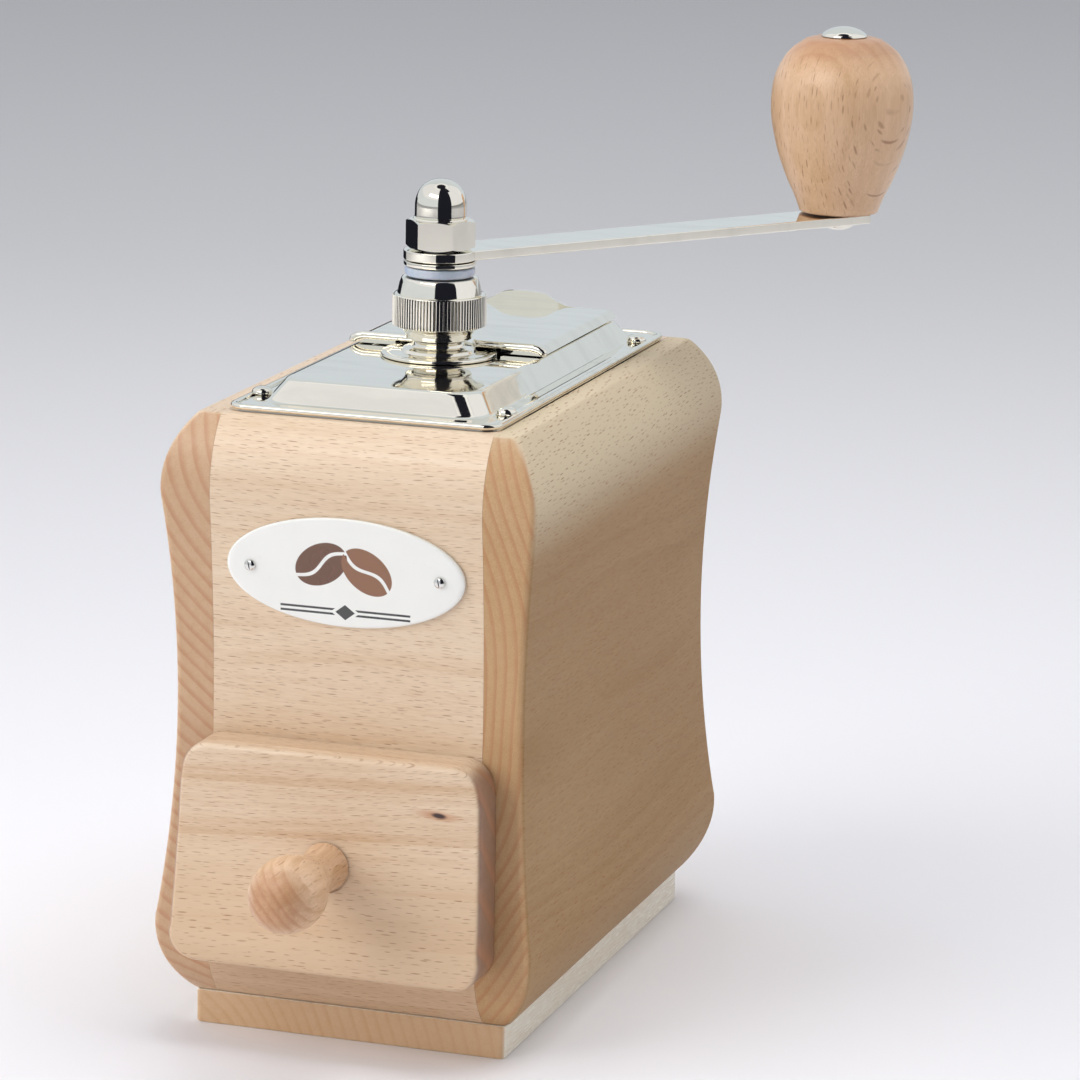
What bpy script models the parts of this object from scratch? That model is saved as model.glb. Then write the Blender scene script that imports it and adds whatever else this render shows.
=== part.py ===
"""A wooden box coffee mill with a hand crank: beech box, drawer, sheet-steel top, cone burr set.

Lengths are in millimetres, and MM turns them into metres. X runs along the front, +Y to the back,
+Z up. The origin is the centre of the base's underside.
"""

import math

import bmesh
import bpy

MM = 0.001
GAP = 0.3  # running and seating clearance between neighbours

# Box: a waisted block of boards on a plain base board.
BODY_TOP = 150.0
TOP_HALF_X, TOP_HALF_Y = 39.45, 69.3
BASE_HALF_X, BASE_HALF_Y, BASE_THICK = 39.35, 70.25, 8.0
WAIST_Z, WAIST_OUT, WAIST_CURVE = 82.0, 4.0, 750.0
TOP_BULGE_Z, TOP_BULGE_OUT, TOP_ARC = 132.5, 7.2, 25.0
LOW_BULGE_Z, LOW_BULGE_OUT, LOW_ARC = 26.0, 8.0, 24.3
TOP_ARC_FROM, LOW_ARC_TO = 130.0, 28.0
EDGE_ROUND = 1.6
SEAM_X = 33.75  # the joint between the side boards and the boards between them
INNER_Y = 61.5  # the inner face of the front and back boards

# Drawer and its compartment.
DRAWER_LOW, DRAWER_HIGH = 21.5, 74.2
DRAWER_HALF_LOW, DRAWER_HALF_HIGH = 39.0, 37.2
DRAWER_FRONT_THICK, DRAWER_CORNER, DRAWER_OFF = 11.4, 7.0, 0.4
TRAY_LOW, TRAY_HIGH, TRAY_BACK = 22.6, 70.5, 56.0
TRAY_WALL, TRAY_FLOOR = 6.0, 3.2
KNOB_Z = 47.85
PARTITION_LOW, PARTITION_HIGH, PARTITION_HOLE_R = 76.0, 84.0, 23.0
RUNNER_WIDE, RUNNER_LOW = 9.0, 15.5
CLEAT_NEAR, CLEAT_LOW = 45.0, 137.5

# Sheet-steel top.
PLATE_HALF_X, PLATE_HALF_Y, PLATE_FLAT, PLATE_RIM = 33.75, 66.85, 151.4, 151.8
FOOT_X, FOOT_Y, STAGE_X, STAGE_Y, STAGE_Z = 27.6, 60.5, 24.0, 56.6, 156.6
SHEET = 0.8
SCREW_X, SCREW_Y, SCREW_HEAD_R = 30.6, 51.2, 2.5
FILL_HALF_X, FILL_NEAR, FILL_FAR = 18.0, 4.0, 47.0

# Grinding axis, and the heights of what stands on it.
AXIS_Y = -12.5
SHAFT_R, BORE_R = 4.0, 4.3
BUSH_LOW, BUSH_FLANGE_R, BUSH_NECK_R, BUSH_NECK_TOP = 149.0, 14.2, 6.2, 169.0
THREAD_R, THREAD_HOLE_R, RING_NUT_FLATS = 8.0, 8.3, 22.0
NUT_LOW, NUT_TOP, NUT_RING_R = 160.9, 176.0, 11.5
WASHER_R, WASHER_LOW, WASHER_HIGH = 8.5, 176.3, 178.5
BOSS_R, BOSS_LOW, BOSS_HIGH = 8.8, 178.8, 180.0
ARM_LOW, ARM_HIGH, ARM_WIDE, ARM_HUB_R = 180.3, 182.6, 13.8, 8.9
ARM_ANGLE, ARM_REACH, ARM_END = math.radians(53.0), 122.0, 127.5
CAP_NUT_LOW, CAP_NUT_SHOULDER, CAP_NUT_TOP, CAP_NUT_FLATS = 182.9, 190.0, 199.7, 14.8
CONE_LOW, CONE_HIGH, CONE_R_LOW, CONE_R_HIGH = 79.9, 95.0, 17.0, 8.0
BURR_TEETH = 18
BRIDGE_THICK, BRIDGE_SCREW_X, LOWER_BRIDGE_SCREW_X = 2.4, 25.6, 27.4
FLANGE_THICK, RIM_HIGH, CLAMP_CORNER = 3.0, 104.0, 21.4

# Handle.
KNOB_LOW, KNOB_SHOULDER = 183.0, 227.6
SPINDLE_R, SPINDLE_BORE = 2.5, 2.8

# Lid: a shallow tray upside down on the stage of the top.
LID_NEAR, LID_FAR, LID_LOW, LID_TOP = -6.9, 53.5, 156.9, 158.7
LID_HALF_LOW, LID_HALF_TOP = 24.5, 22.6
LID_NOTCH_R, LID_BEAD_R = 9.6, 0.95
TAB_HALF, TAB_RISE = 10.0, 3.4

# Label.
LABEL_Z, LABEL_HALF_X, LABEL_HALF_Z, LABEL_PIN_X = 115.8, 29.5, 13.2, 23.5

BEECH = ("beech", (0.73, 0.55, 0.38), 0.55, 0.0)
DARK_BEECH = ("turned_beech", (0.66, 0.44, 0.27), 0.42, 0.0)
CHROME = ("chrome", (0.80, 0.80, 0.80), 0.10, 1.0)
STEEL = ("plain_steel", (0.45, 0.45, 0.46), 0.35, 1.0)
CAST = ("cast_iron", (0.16, 0.16, 0.17), 0.55, 1.0)
NYLON = ("nylon", (0.62, 0.68, 0.74), 0.45, 0.0)
ENAMEL = ("enamel", (0.88, 0.87, 0.83), 0.22, 0.0)


for old in list(bpy.data.objects):
    bpy.data.objects.remove(old, do_unlink=True)


def material(name, colour, roughness, metallic):
    found = bpy.data.materials.get(name)
    if found:
        return found
    made = bpy.data.materials.new(name)
    made.use_nodes = True
    shader = made.node_tree.nodes["Principled BSDF"]
    shader.inputs["Base Color"].default_value = (*colour, 1.0)
    shader.inputs["Roughness"].default_value = roughness
    shader.inputs["Metallic"].default_value = metallic
    return made


def axis_empty(name, x, y, z=0.0):
    """An empty on a joint's axis or path, which the moving pieces are parented to."""
    empty = bpy.data.objects.new(name, None)
    empty.location = (x * MM, y * MM, z * MM)
    bpy.context.collection.objects.link(empty)
    return empty


def add(name, bm, finish, parent=None, at=(0, 0, 0), turn=(0, 0, 0), smooth=True):
    """Turns a bmesh in millimetres into an object, at a place given from its parent's."""
    bmesh.ops.remove_doubles(bm, verts=bm.verts, dist=1e-4)
    bmesh.ops.recalc_face_normals(bm, faces=bm.faces)
    bmesh.ops.scale(bm, vec=(MM, MM, MM), verts=bm.verts)
    mesh = bpy.data.meshes.new(name)
    bm.to_mesh(mesh)
    bm.free()
    if smooth:
        mesh.shade_smooth()
        mesh.set_sharp_from_angle(angle=math.radians(32))
    mesh.materials.append(material(*finish))
    made = bpy.data.objects.new(name, mesh)
    made.location = [v * MM for v in at]
    made.rotation_euler = turn
    made.parent = parent
    bpy.context.collection.objects.link(made)
    return made


def combine(target, bm, name, operation, at, turn):
    """Combines an object with a hidden helper, which stands where the object does if at is left out."""
    at = at or [v / MM for v in target.location]
    helper = add(f"cutter_{target.name}_{name}", bm, STEEL, target.parent, at, turn)
    helper.hide_render = True
    helper.display_type = "WIRE"
    boolean = target.modifiers.new(name, "BOOLEAN")
    boolean.operation = operation
    boolean.solver = "EXACT"
    boolean.object = helper


def cut(target, bm, name, at=None, turn=(0, 0, 0)):
    """Cuts a bmesh out of an object."""
    combine(target, bm, name, "DIFFERENCE", at, turn)


def fuse(target, bm, name, at=None, turn=(0, 0, 0)):
    """Joins a bmesh onto an object."""
    combine(target, bm, name, "UNION", at, turn)


def loft(loops, closed=False):
    """Skins loops of equally many points; the ends are capped, or joined to each other if closed."""
    bm = bmesh.new()
    rows = [[bm.verts.new(point) for point in loop] for loop in loops]
    pairs = list(zip(rows, rows[1:])) + ([(rows[-1], rows[0])] if closed else [])
    for low, high in pairs:
        count = len(low)
        for i in range(count):
            j = (i + 1) % count
            bm.faces.new((low[i], low[j], high[j], high[i]))
    if not closed:
        bm.faces.new(rows[0][::-1])
        bm.faces.new(rows[-1])
    return bm


def lathe(profile, sides=32, wave=None):
    """Turns (radius, height) points about Z. Radius 0 closes on the axis; else the outline closes on itself.

    wave(radius, height, angle) may give a different radius, for teeth and ribs.
    """
    bm = bmesh.new()
    rows = []
    for radius, height in profile:
        if radius == 0:
            rows.append([bm.verts.new((0, 0, height))])
            continue
        row = []
        for i in range(sides):
            angle = 2 * math.pi * i / sides
            r = wave(radius, height, angle) if wave else radius
            row.append(bm.verts.new((r * math.cos(angle), r * math.sin(angle), height)))
        rows.append(row)
    pairs = list(zip(rows, rows[1:]))
    if profile[0][0] and profile[-1][0]:
        pairs.append((rows[-1], rows[0]))
    for low, high in pairs:
        for i in range(sides):
            j = (i + 1) % sides
            corners = [low[i % len(low)], low[j % len(low)], high[j % len(high)], high[i % len(high)]]
            unique = list(dict.fromkeys(corners))
            if len(unique) > 2:
                bm.faces.new(unique)
    return bm


def prism(outline, low, high, axis="Z"):
    """Extrudes an outline of (a, b) points along an axis: X takes (y, z), Y takes (x, z), Z takes (x, y)."""
    place = {
        "X": lambda a, b, c: (c, a, b),
        "Y": lambda a, b, c: (a, c, b),
        "Z": lambda a, b, c: (a, b, c),
    }[axis]
    return loft([[place(a, b, c) for a, b in outline] for c in (low, high)])


def box(x0, x1, y0, y1, z0, z1):
    return prism([(x0, y0), (x1, y0), (x1, y1), (x0, y1)], z0, z1)


def rod(radius, low, high, sides=16, taper=0.0):
    """A round bar along Z with chamfered ends."""
    c = taper
    if not c:
        return lathe([(0, low), (radius, low), (radius, high), (0, high)], sides)
    low_end = [(0, low), (radius - c, low), (radius, low + c)]
    high_end = [(radius, high - c), (radius - c, high), (0, high)]
    return lathe(low_end + high_end, sides)


def rounded(half_x, half_y, radius, z=None, steps=3, y_mid=0.0):
    """A rectangle with round corners, anticlockwise from the right side's front corner."""
    points = []
    for quarter, (sx, sy) in enumerate(((1, -1), (1, 1), (-1, 1), (-1, -1))):
        cx, cy = sx * (half_x - radius), sy * (half_y - radius)
        for i in range(steps + 1):
            angle = math.radians(90) * (quarter - 1 + i / steps)
            points.append((cx + radius * math.cos(angle), y_mid + cy + radius * math.sin(angle)))
    return points if z is None else [(x, y, z) for x, y in points]


def hexagon(across_flats):
    radius = across_flats / math.sqrt(3)
    angles = [math.radians(60 * i) for i in range(6)]
    return [(radius * math.cos(a), radius * math.sin(a)) for a in angles]


def curve_through(points, steps):
    """A smooth run of points through a few given ones (Catmull-Rom)."""
    ends = [points[0], *points, points[-1]]
    run = []
    for a, b, c, d in zip(ends, ends[1:], ends[2:], ends[3:]):
        for i in range(steps):
            t = i / steps
            run.append(tuple(
                0.5 * (2 * q + (r - p) * t
                       + (2 * p - 5 * q + 4 * r - s) * t**2
                       + (3 * q - p - 3 * r + s) * t**3)
                for p, q, r, s in zip(a, b, c, d)
            ))
    return [*run, points[-1]]


def swell(z):
    """How far the box stands out past its top edge at a height: two round bulges and a waist."""
    if z > TOP_ARC_FROM:
        return TOP_BULGE_OUT - TOP_ARC + math.sqrt(TOP_ARC**2 - (z - TOP_BULGE_Z) ** 2)
    if z < LOW_ARC_TO:
        return LOW_BULGE_OUT - LOW_ARC + math.sqrt(LOW_ARC**2 - (z - LOW_BULGE_Z) ** 2)
    return WAIST_OUT + (z - WAIST_Z) ** 2 / WAIST_CURVE


def body_levels(low, high):
    """Heights for a curved board, closer together on the round bulges."""
    steps = [8.3, 10, 12, 14.5, 17.5, 21, 25, 29, 35, 43, 52, 62, 74, 90, 102, 112, 121]
    steps += [127, 132, 136, 139.5, 142.5, 145, 147, 148.6, BODY_TOP]
    return [low] + [z for z in steps if low + 0.4 < z < high - 0.4] + [high]


def body_block(low, high):
    """The whole waisted block between two heights, with eased upright edges."""
    return loft([
        rounded(TOP_HALF_X + swell(z), TOP_HALF_Y + swell(z), EDGE_ROUND, z, steps=2)
        for z in body_levels(low, high)
    ])


def board(name, low, high, planes):
    """A board sawn out of the block. Each plane is (point, direction of the waste side)."""
    bm = body_block(low, high)
    for point, waste in planes:
        geometry = [*bm.verts, *bm.edges, *bm.faces]
        cut_away = bmesh.ops.bisect_plane(
            bm, geom=geometry, plane_co=point, plane_no=waste, clear_outer=True, dist=1e-5
        )
        edges = [e for e in cut_away["geom_cut"] if isinstance(e, bmesh.types.BMEdge)]
        bmesh.ops.edgenet_fill(bm, edges=edges)
    return add(name, bm, BEECH)


# --- box -----------------------------------------------------------------------------------------


def make_box():
    base = prism(rounded(BASE_HALF_X, BASE_HALF_Y, 1.5, steps=2), 0, BASE_THICK)
    add("base_board", base, BEECH)
    low = BASE_THICK + GAP
    for side, name in ((-1, "left_side_board"), (1, "right_side_board")):
        board(name, low, BODY_TOP, [((side * SEAM_X, 0, 0), (-side, 0, 0))])
    inner = SEAM_X - GAP
    sides = [((inner, 0, 0), (1, 0, 0)), ((-inner, 0, 0), (-1, 0, 0))]
    front = sides + [((0, -INNER_Y, 0), (0, 1, 0))]
    board("front_board", DRAWER_HIGH + GAP, BODY_TOP, front)
    board("front_rail", low, DRAWER_LOW - GAP, front)
    board("back_board", low, BODY_TOP, sides + [((0, INNER_Y, 0), (0, -1, 0))])
    reach = INNER_Y - GAP
    slab = box(-inner, inner, -reach, reach, PARTITION_LOW, PARTITION_HIGH)
    partition = add("partition_board", slab, BEECH)
    cut(partition, rod(PARTITION_HOLE_R, 70, 90, 24), "burr_hole", (0, AXIS_Y, 0))
    for side, name in ((-1, "drawer_runner_left"), (1, "drawer_runner_right")):
        x0, x1 = sorted((side * inner, side * (inner - RUNNER_WIDE)))
        add(name, box(x0, x1, -reach, reach, RUNNER_LOW, TRAY_LOW - GAP), BEECH)
    for side, name in ((-1, "top_cleat_front"), (1, "top_cleat_rear")):
        y0, y1 = sorted((side * reach, side * CLEAT_NEAR))
        add(name, box(-inner, inner, y0, y1, CLEAT_LOW, BODY_TOP - GAP), BEECH)


# --- label ---------------------------------------------------------------------------------------


def make_label():
    """An oval enamelled plate bent to the front board, held by two pins."""

    def ring(scale, out):
        points = []
        for i in range(32):
            angle = 2 * math.pi * i / 32
            z = LABEL_Z + scale * LABEL_HALF_Z * math.sin(angle)
            points.append((scale * LABEL_HALF_X * math.cos(angle), -(TOP_HALF_Y + swell(z) + out), z))
        return points

    rings = [(0.02, GAP), (0.5, GAP), (1.0, GAP), (1.0, 0.7), (0.97, 1.1), (0.5, 1.3), (0.02, 1.3)]
    plate = add("label_plate", loft([ring(*r) for r in rings]), ENAMEL)
    face = TOP_HALF_Y + swell(LABEL_Z)
    turn = (math.radians(90), 0, 0)
    for side, name in ((-1, "label_pin_left"), (1, "label_pin_right")):
        at = (side * LABEL_PIN_X, 0, LABEL_Z)
        shank = [(0, face - 6), (0.6, face - 5.4), (0.6, face + 1.5)]
        head = [(1.4, face + 1.5), (1.2, face + 2.1), (0, face + 2.5)]
        add(name, lathe(shank + head, 12), CHROME, None, at, turn)
        cut(plate, rod(0.9, face - 2, face + 3, 12), name, at, turn)
        cut(bpy.data.objects["front_board"], rod(0.9, face - 6.3, face + 3, 12), name, at, turn)


# --- top -----------------------------------------------------------------------------------------


def make_top():
    """The pressed top: a rolled rim, a flat margin and a raised stage, hollow underneath."""
    top = add("top_plate", loft([
        rounded(PLATE_HALF_X - 0.5, PLATE_HALF_Y - 0.5, 4.6, BODY_TOP + GAP),
        rounded(PLATE_HALF_X, PLATE_HALF_Y, 5.0, BODY_TOP + 0.9),
        rounded(PLATE_HALF_X - 0.1, PLATE_HALF_Y - 0.1, 4.9, BODY_TOP + 1.5),
        rounded(PLATE_HALF_X - 0.45, PLATE_HALF_Y - 0.45, 4.6, PLATE_RIM),
        rounded(PLATE_HALF_X - 1.0, PLATE_HALF_Y - 1.0, 4.2, PLATE_FLAT),
        rounded(FOOT_X + 0.5, FOOT_Y + 0.5, 6.4, PLATE_FLAT),
        rounded(FOOT_X, FOOT_Y, 6.0, PLATE_FLAT + 0.3),
        rounded(STAGE_X + 0.6, STAGE_Y + 0.7, 5.2, STAGE_Z - 0.7),
        rounded(STAGE_X + 0.1, STAGE_Y + 0.1, 4.8, STAGE_Z - 0.15),
        rounded(STAGE_X - 0.7, STAGE_Y - 0.7, 4.4, STAGE_Z),
        rounded(STAGE_X - 0.7, STAGE_Y - 0.7, 4.4, STAGE_Z - SHEET),
        rounded(STAGE_X - 0.3, STAGE_Y - 0.3, 4.4, STAGE_Z - SHEET - 0.7),
        rounded(FOOT_X - 0.7, FOOT_Y - 0.7, 5.4, BODY_TOP + GAP),
    ], closed=True), CHROME)
    # The lofted ring has no middle yet: a deck closes it, and the openings are cut after that.
    deck = rounded(STAGE_X - 0.6, STAGE_Y - 0.6, 4.4)
    fuse(top, prism(deck, STAGE_Z - SHEET, STAGE_Z), "deck")
    cut(top, rod(THREAD_HOLE_R, 145, 165, 32), "neck_hole", (0, AXIS_Y, 0))
    middle, half = (FILL_NEAR + FILL_FAR) / 2, (FILL_FAR - FILL_NEAR) / 2
    cut(top, prism(rounded(FILL_HALF_X, half, 6.0, y_mid=middle), 150, 160), "fill_opening")
    cleats = {-1: bpy.data.objects["top_cleat_front"], 1: bpy.data.objects["top_cleat_rear"]}
    number = 0
    for side_y in (-1, 1):
        for side_x in (-1, 1):
            number += 1
            name = f"plate_screw_{number}"
            at = (side_x * SCREW_X, side_y * SCREW_Y, 0)
            head, r = PLATE_FLAT + GAP, SCREW_HEAD_R
            shape = [
                (0, 139.5), (1.4, 141), (1.4, head), (r, head + 0.05),
                (r, head + 0.5), (0.75 * r, head + 1.3), (0, head + 1.7),
            ]
            add(name, lathe(shape, 16), CHROME, None, at)
            cut(top, rod(1.7, 149, 153, 16), name, at)
            cut(cleats[side_y], rod(1.7, 139, 151, 16), name, at)


def make_neck():
    """The threaded neck that carries the adjusting nut, and the ring nut that clamps it to the stage."""
    low, top = STAGE_Z + GAP, STAGE_Z + 1.0
    bush = [
        (BORE_R, BUSH_LOW), (THREAD_R, BUSH_LOW), (THREAD_R, low),
        (BUSH_FLANGE_R - 0.3, low), (BUSH_FLANGE_R, low + 0.3),
        (BUSH_FLANGE_R - 0.4, top - 0.15), (BUSH_FLANGE_R - 1.4, top), (9.2, top), (8.6, top + 0.9),
        (7.0, top + 1.1), (BUSH_NECK_R, top + 1.6), (BUSH_NECK_R, BUSH_NECK_TOP), (BORE_R, BUSH_NECK_TOP),
    ]
    here = (0, AXIS_Y, 0)
    add("neck_bush", lathe(bush, 28), CHROME, None, here)
    nut = add("neck_ring_nut", prism(hexagon(RING_NUT_FLATS), 151.5, 154.8), STEEL, None, here)
    cut(nut, rod(THREAD_HOLE_R, 150, 157, 32), "thread")


def make_funnel():
    """A sheet funnel from under the top down to the burrs: a rectangle at the top, round at the outlet."""
    count = 32
    high, low, outlet, wall = BODY_TOP - 1.4, 107.5, 22.0, 0.8

    def outline(share, grow):
        points = []
        for i in range(count):
            angle = 2 * math.pi * (i + 0.5) / count
            c, s = math.cos(angle), math.sin(angle)
            reach = 1 / max(abs(c) / 31.8, abs(s) / 41.5)
            rect = (reach * c, reach * s)
            ring = (outlet * c, outlet * s + AXIS_Y)
            x = ring[0] + (rect[0] - ring[0]) * share + grow * c
            y = ring[1] + (rect[1] - ring[1]) * share + grow * s
            points.append((x, y, low + (high - low) * share))
        return points

    shares = (0.0, 0.25, 0.5, 0.75, 1.0)
    outer = [outline(share, wall) for share in shares]
    inner = [outline(share, 0.0) for share in reversed(shares)]
    add("hopper_funnel", loft(outer + inner, closed=True), STEEL)


# --- burrs ---------------------------------------------------------------------------------------


def make_burrs(crank_axis):
    here = (0, AXIS_Y, 0)

    def ring_teeth(radius, height, angle):
        inside = radius < 19.5 and height < 101
        return radius + (0.35 * math.cos(BURR_TEETH * angle + 0.10 * (height - 80)) if inside else 0)

    flange = PARTITION_HIGH + GAP
    ring = [
        (18.6, 76.8), (22.4, 76.8), (22.4, flange), (27.6, flange),
        (27.6, flange + FLANGE_THICK), (25.0, flange + FLANGE_THICK),
        (25.0, RIM_HIGH - 4), (28.6, RIM_HIGH - 3), (28.6, RIM_HIGH), (22.6, RIM_HIGH),
        (19.0, 97.0), (15.0, 88.0), (18.6, 80.9),
    ]
    burr = add("ring_burr", lathe(ring, 3 * BURR_TEETH, ring_teeth), CAST, None, here)
    make_clamp_screws(flange + FLANGE_THICK + GAP)
    upper_low = RIM_HIGH + GAP
    upper_high = upper_low + BRIDGE_THICK
    strip = rounded(28.4, 6.0, 5.9, steps=5)
    upper = add("upper_bridge", prism(strip, upper_low, upper_high), STEEL, None, here)
    cut(upper, rod(BORE_R, 100, 110, 20), "shaft_hole")
    lower_high = PARTITION_LOW - GAP
    lower_low = lower_high - BRIDGE_THICK
    strip = rounded(31.0, 7.0, 6.9, steps=5)
    lower = add("lower_bridge", prism(strip, lower_low, lower_high), STEEL, None, here)
    cut(lower, rod(BORE_R, 70, 80, 20), "shaft_hole")
    for side, word in ((-1, "left"), (1, "right")):
        head = upper_high + GAP
        shape = [
            (0, 97.5), (1.1, 98.1), (1.1, head), (2.4, head),
            (2.4, head + 0.9), (1.5, head + 1.7), (0, head + 1.8),
        ]
        place = (side * BRIDGE_SCREW_X, AXIS_Y, 0)
        add(f"bridge_screw_{word}", lathe(shape, 14), STEEL, None, place)
        for target in (upper, burr):
            cut(target, rod(1.4, 97.2, 112, 14), f"screw_{word}", place)
        head = lower_low - GAP
        shape = [(0, head - 1.6), (1.8, head - 1.2), (3.0, head), (1.5, head), (1.5, 80.5), (0, 81.8)]
        place = (side * LOWER_BRIDGE_SCREW_X, AXIS_Y, 0)
        add(f"lower_bridge_screw_{word}", lathe(shape, 14), STEEL, None, place)
        cut(lower, rod(1.8, 70, 77, 14), f"screw_{word}", place)
        cut(bpy.data.objects["partition_board"], rod(1.8, 75, 82.2, 14), f"lower_screw_{word}", place)
    make_cone(crank_axis, upper_low - GAP)


def make_clamp_screws(head):
    """Screws just outside the ring burr's flange, whose washer heads hold it down."""
    partition = bpy.data.objects["partition_board"]
    shape = [
        (0, 76.8), (1.6, 78.5), (1.6, head), (4.6, head), (4.6, head + 0.8),
        (2.8, head + 1.0), (2.6, head + 2.2), (0, head + 2.8),
    ]
    number = 0
    for side_x in (-1, 1):
        for side_y in (-1, 1):
            number += 1
            at = (side_x * CLAMP_CORNER, AXIS_Y + side_y * CLAMP_CORNER, 0)
            name = f"burr_screw_{number}"
            add(name, lathe(shape, 14), STEEL, None, at)
            cut(partition, rod(1.9, 76.4, 90, 14), name, at)


def make_cone(crank_axis, spring_high):
    """The turning cone on the shaft, with its nut below and its spring above."""

    def cone_teeth(radius, height, angle):
        cutting = radius > 6 and CONE_LOW + 0.5 < height < CONE_HIGH + 0.1
        return radius + (0.45 * math.cos(BURR_TEETH * angle + 0.25 * (height - 80)) if cutting else 0)

    cone = [
        (BORE_R, CONE_LOW), (CONE_R_LOW - 1.2, CONE_LOW), (CONE_R_LOW, CONE_LOW + 1.5), (16.2, 83.0),
        (13.6, 87.5), (10.8, 91.5), (CONE_R_HIGH, CONE_HIGH), (BORE_R, CONE_HIGH),
    ]
    add("cone_burr", lathe(cone, 3 * BURR_TEETH, cone_teeth), CAST, crank_axis)
    nut = add("burr_nut", prism(hexagon(11.5), CONE_LOW - GAP - 3.0, CONE_LOW - GAP), STEEL, crank_axis)
    cut(nut, rod(BORE_R, 70, 85, 20), "thread")
    seat = CONE_HIGH + GAP
    disc = [(BORE_R, seat), (7.6, seat), (7.6, seat + 0.8), (BORE_R, seat + 0.8)]
    add("spring_washer", lathe(disc, 24), STEEL, crank_axis)
    spring_low = seat + 0.8 + GAP
    add_coil("burr_spring", spring_low, spring_high, crank_axis, turns=3.5, coil_r=6.1, wire_r=0.55)


def add_coil(name, low, high, parent, turns, coil_r, wire_r):
    """A compression spring: a round wire swept along a helix, with both ends capped."""
    steps, sides = int(turns * 14), 6
    start, rise = low + wire_r, high - low - 2 * wire_r
    loops = []
    for i in range(steps + 1):
        angle = 2 * math.pi * turns * i / steps
        z = start + rise * i / steps
        loop = []
        for k in range(sides):
            around = 2 * math.pi * k / sides
            r = coil_r + wire_r * math.cos(around)
            loop.append((r * math.cos(angle), r * math.sin(angle), z + wire_r * math.sin(around)))
        loops.append(loop)
    add(name, loft(loops), STEEL, parent)


# --- crank ---------------------------------------------------------------------------------------


def make_adjuster(nut_axis):
    ring_low, ring_high = 164.0, 171.9
    nut = [
        (6.6, NUT_LOW), (8.1, NUT_LOW), (9.6, ring_low - 0.5), (NUT_RING_R - 1.0, ring_low),
        (NUT_RING_R, ring_low + 1.0), (NUT_RING_R, ring_high - 0.7), (NUT_RING_R - 0.7, ring_high),
        (10.5, ring_high + 0.1), (9.3, NUT_TOP - 0.3), (8.9, NUT_TOP),
        (BORE_R, NUT_TOP), (BORE_R, 171.2), (6.6, 171.2),
    ]
    add("adjusting_nut", lathe(nut, 36), CHROME, nut_axis)
    washer = [
        (BORE_R, WASHER_LOW), (WASHER_R - 0.3, WASHER_LOW), (WASHER_R, WASHER_LOW + 0.3),
        (WASHER_R, WASHER_HIGH - 0.3), (WASHER_R - 0.3, WASHER_HIGH), (BORE_R, WASHER_HIGH),
    ]
    add("nylon_washer", lathe(washer, 24), NYLON, nut_axis)


def make_crank(crank_axis):
    add("shaft", rod(SHAFT_R, 71.6, 196.0, 20, taper=0.5), STEEL, crank_axis)
    boss = [
        (BORE_R, BOSS_LOW), (BOSS_R - 0.2, BOSS_LOW), (BOSS_R, BOSS_LOW + 0.3),
        (BOSS_R, BOSS_HIGH), (BORE_R, BOSS_HIGH),
    ]
    add("crank_washer", lathe(boss, 24), CHROME, crank_axis)
    half = ARM_WIDE / 2
    start = math.asin(half / ARM_HUB_R)
    outline = [(ARM_END, -half + 0.7), (ARM_END, half - 0.7), (ARM_END - 0.7, half)]
    steps = 20
    for i in range(steps + 1):
        angle = start + (2 * math.pi - 2 * start) * i / steps
        outline.append((ARM_HUB_R * math.cos(angle), ARM_HUB_R * math.sin(angle)))
    outline.append((ARM_END - 0.7, -half))
    arm = add("crank_arm", prism(outline, ARM_LOW, ARM_HIGH), CHROME, crank_axis, turn=(0, 0, ARM_ANGLE))
    cut(arm, rod(BORE_R, 175, 190, 20), "shaft_hole")
    knob_x, knob_y = ARM_REACH * math.cos(ARM_ANGLE), ARM_REACH * math.sin(ARM_ANGLE)
    cut(arm, rod(SPINDLE_BORE, 175, 190, 16), "spindle_hole", (knob_x, knob_y, 0))
    make_cap_nut(crank_axis)
    return knob_x, knob_y


def make_cap_nut(crank_axis):
    """A hexagon nut with a round dome, blind inside."""
    nut = add("acorn_nut", prism(hexagon(CAP_NUT_FLATS), CAP_NUT_LOW, CAP_NUT_SHOULDER), CHROME, crank_axis)
    dome_r, rise = 6.05, 6.2
    centre = CAP_NUT_TOP - rise
    dome = [
        (0, CAP_NUT_LOW + 2), (6.6, CAP_NUT_SHOULDER - 2), (6.6, CAP_NUT_SHOULDER + 0.6),
        (6.1, CAP_NUT_SHOULDER + 1.2),
    ]
    for i in range(7):
        angle = math.radians(15 * i)
        dome.append((dome_r * math.cos(angle) if i < 6 else 0, centre + rise * math.sin(angle)))
    fuse(nut, lathe(dome, 24), "dome")
    cut(nut, rod(BORE_R, 175, 196.4, 20), "blind_thread")


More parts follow.
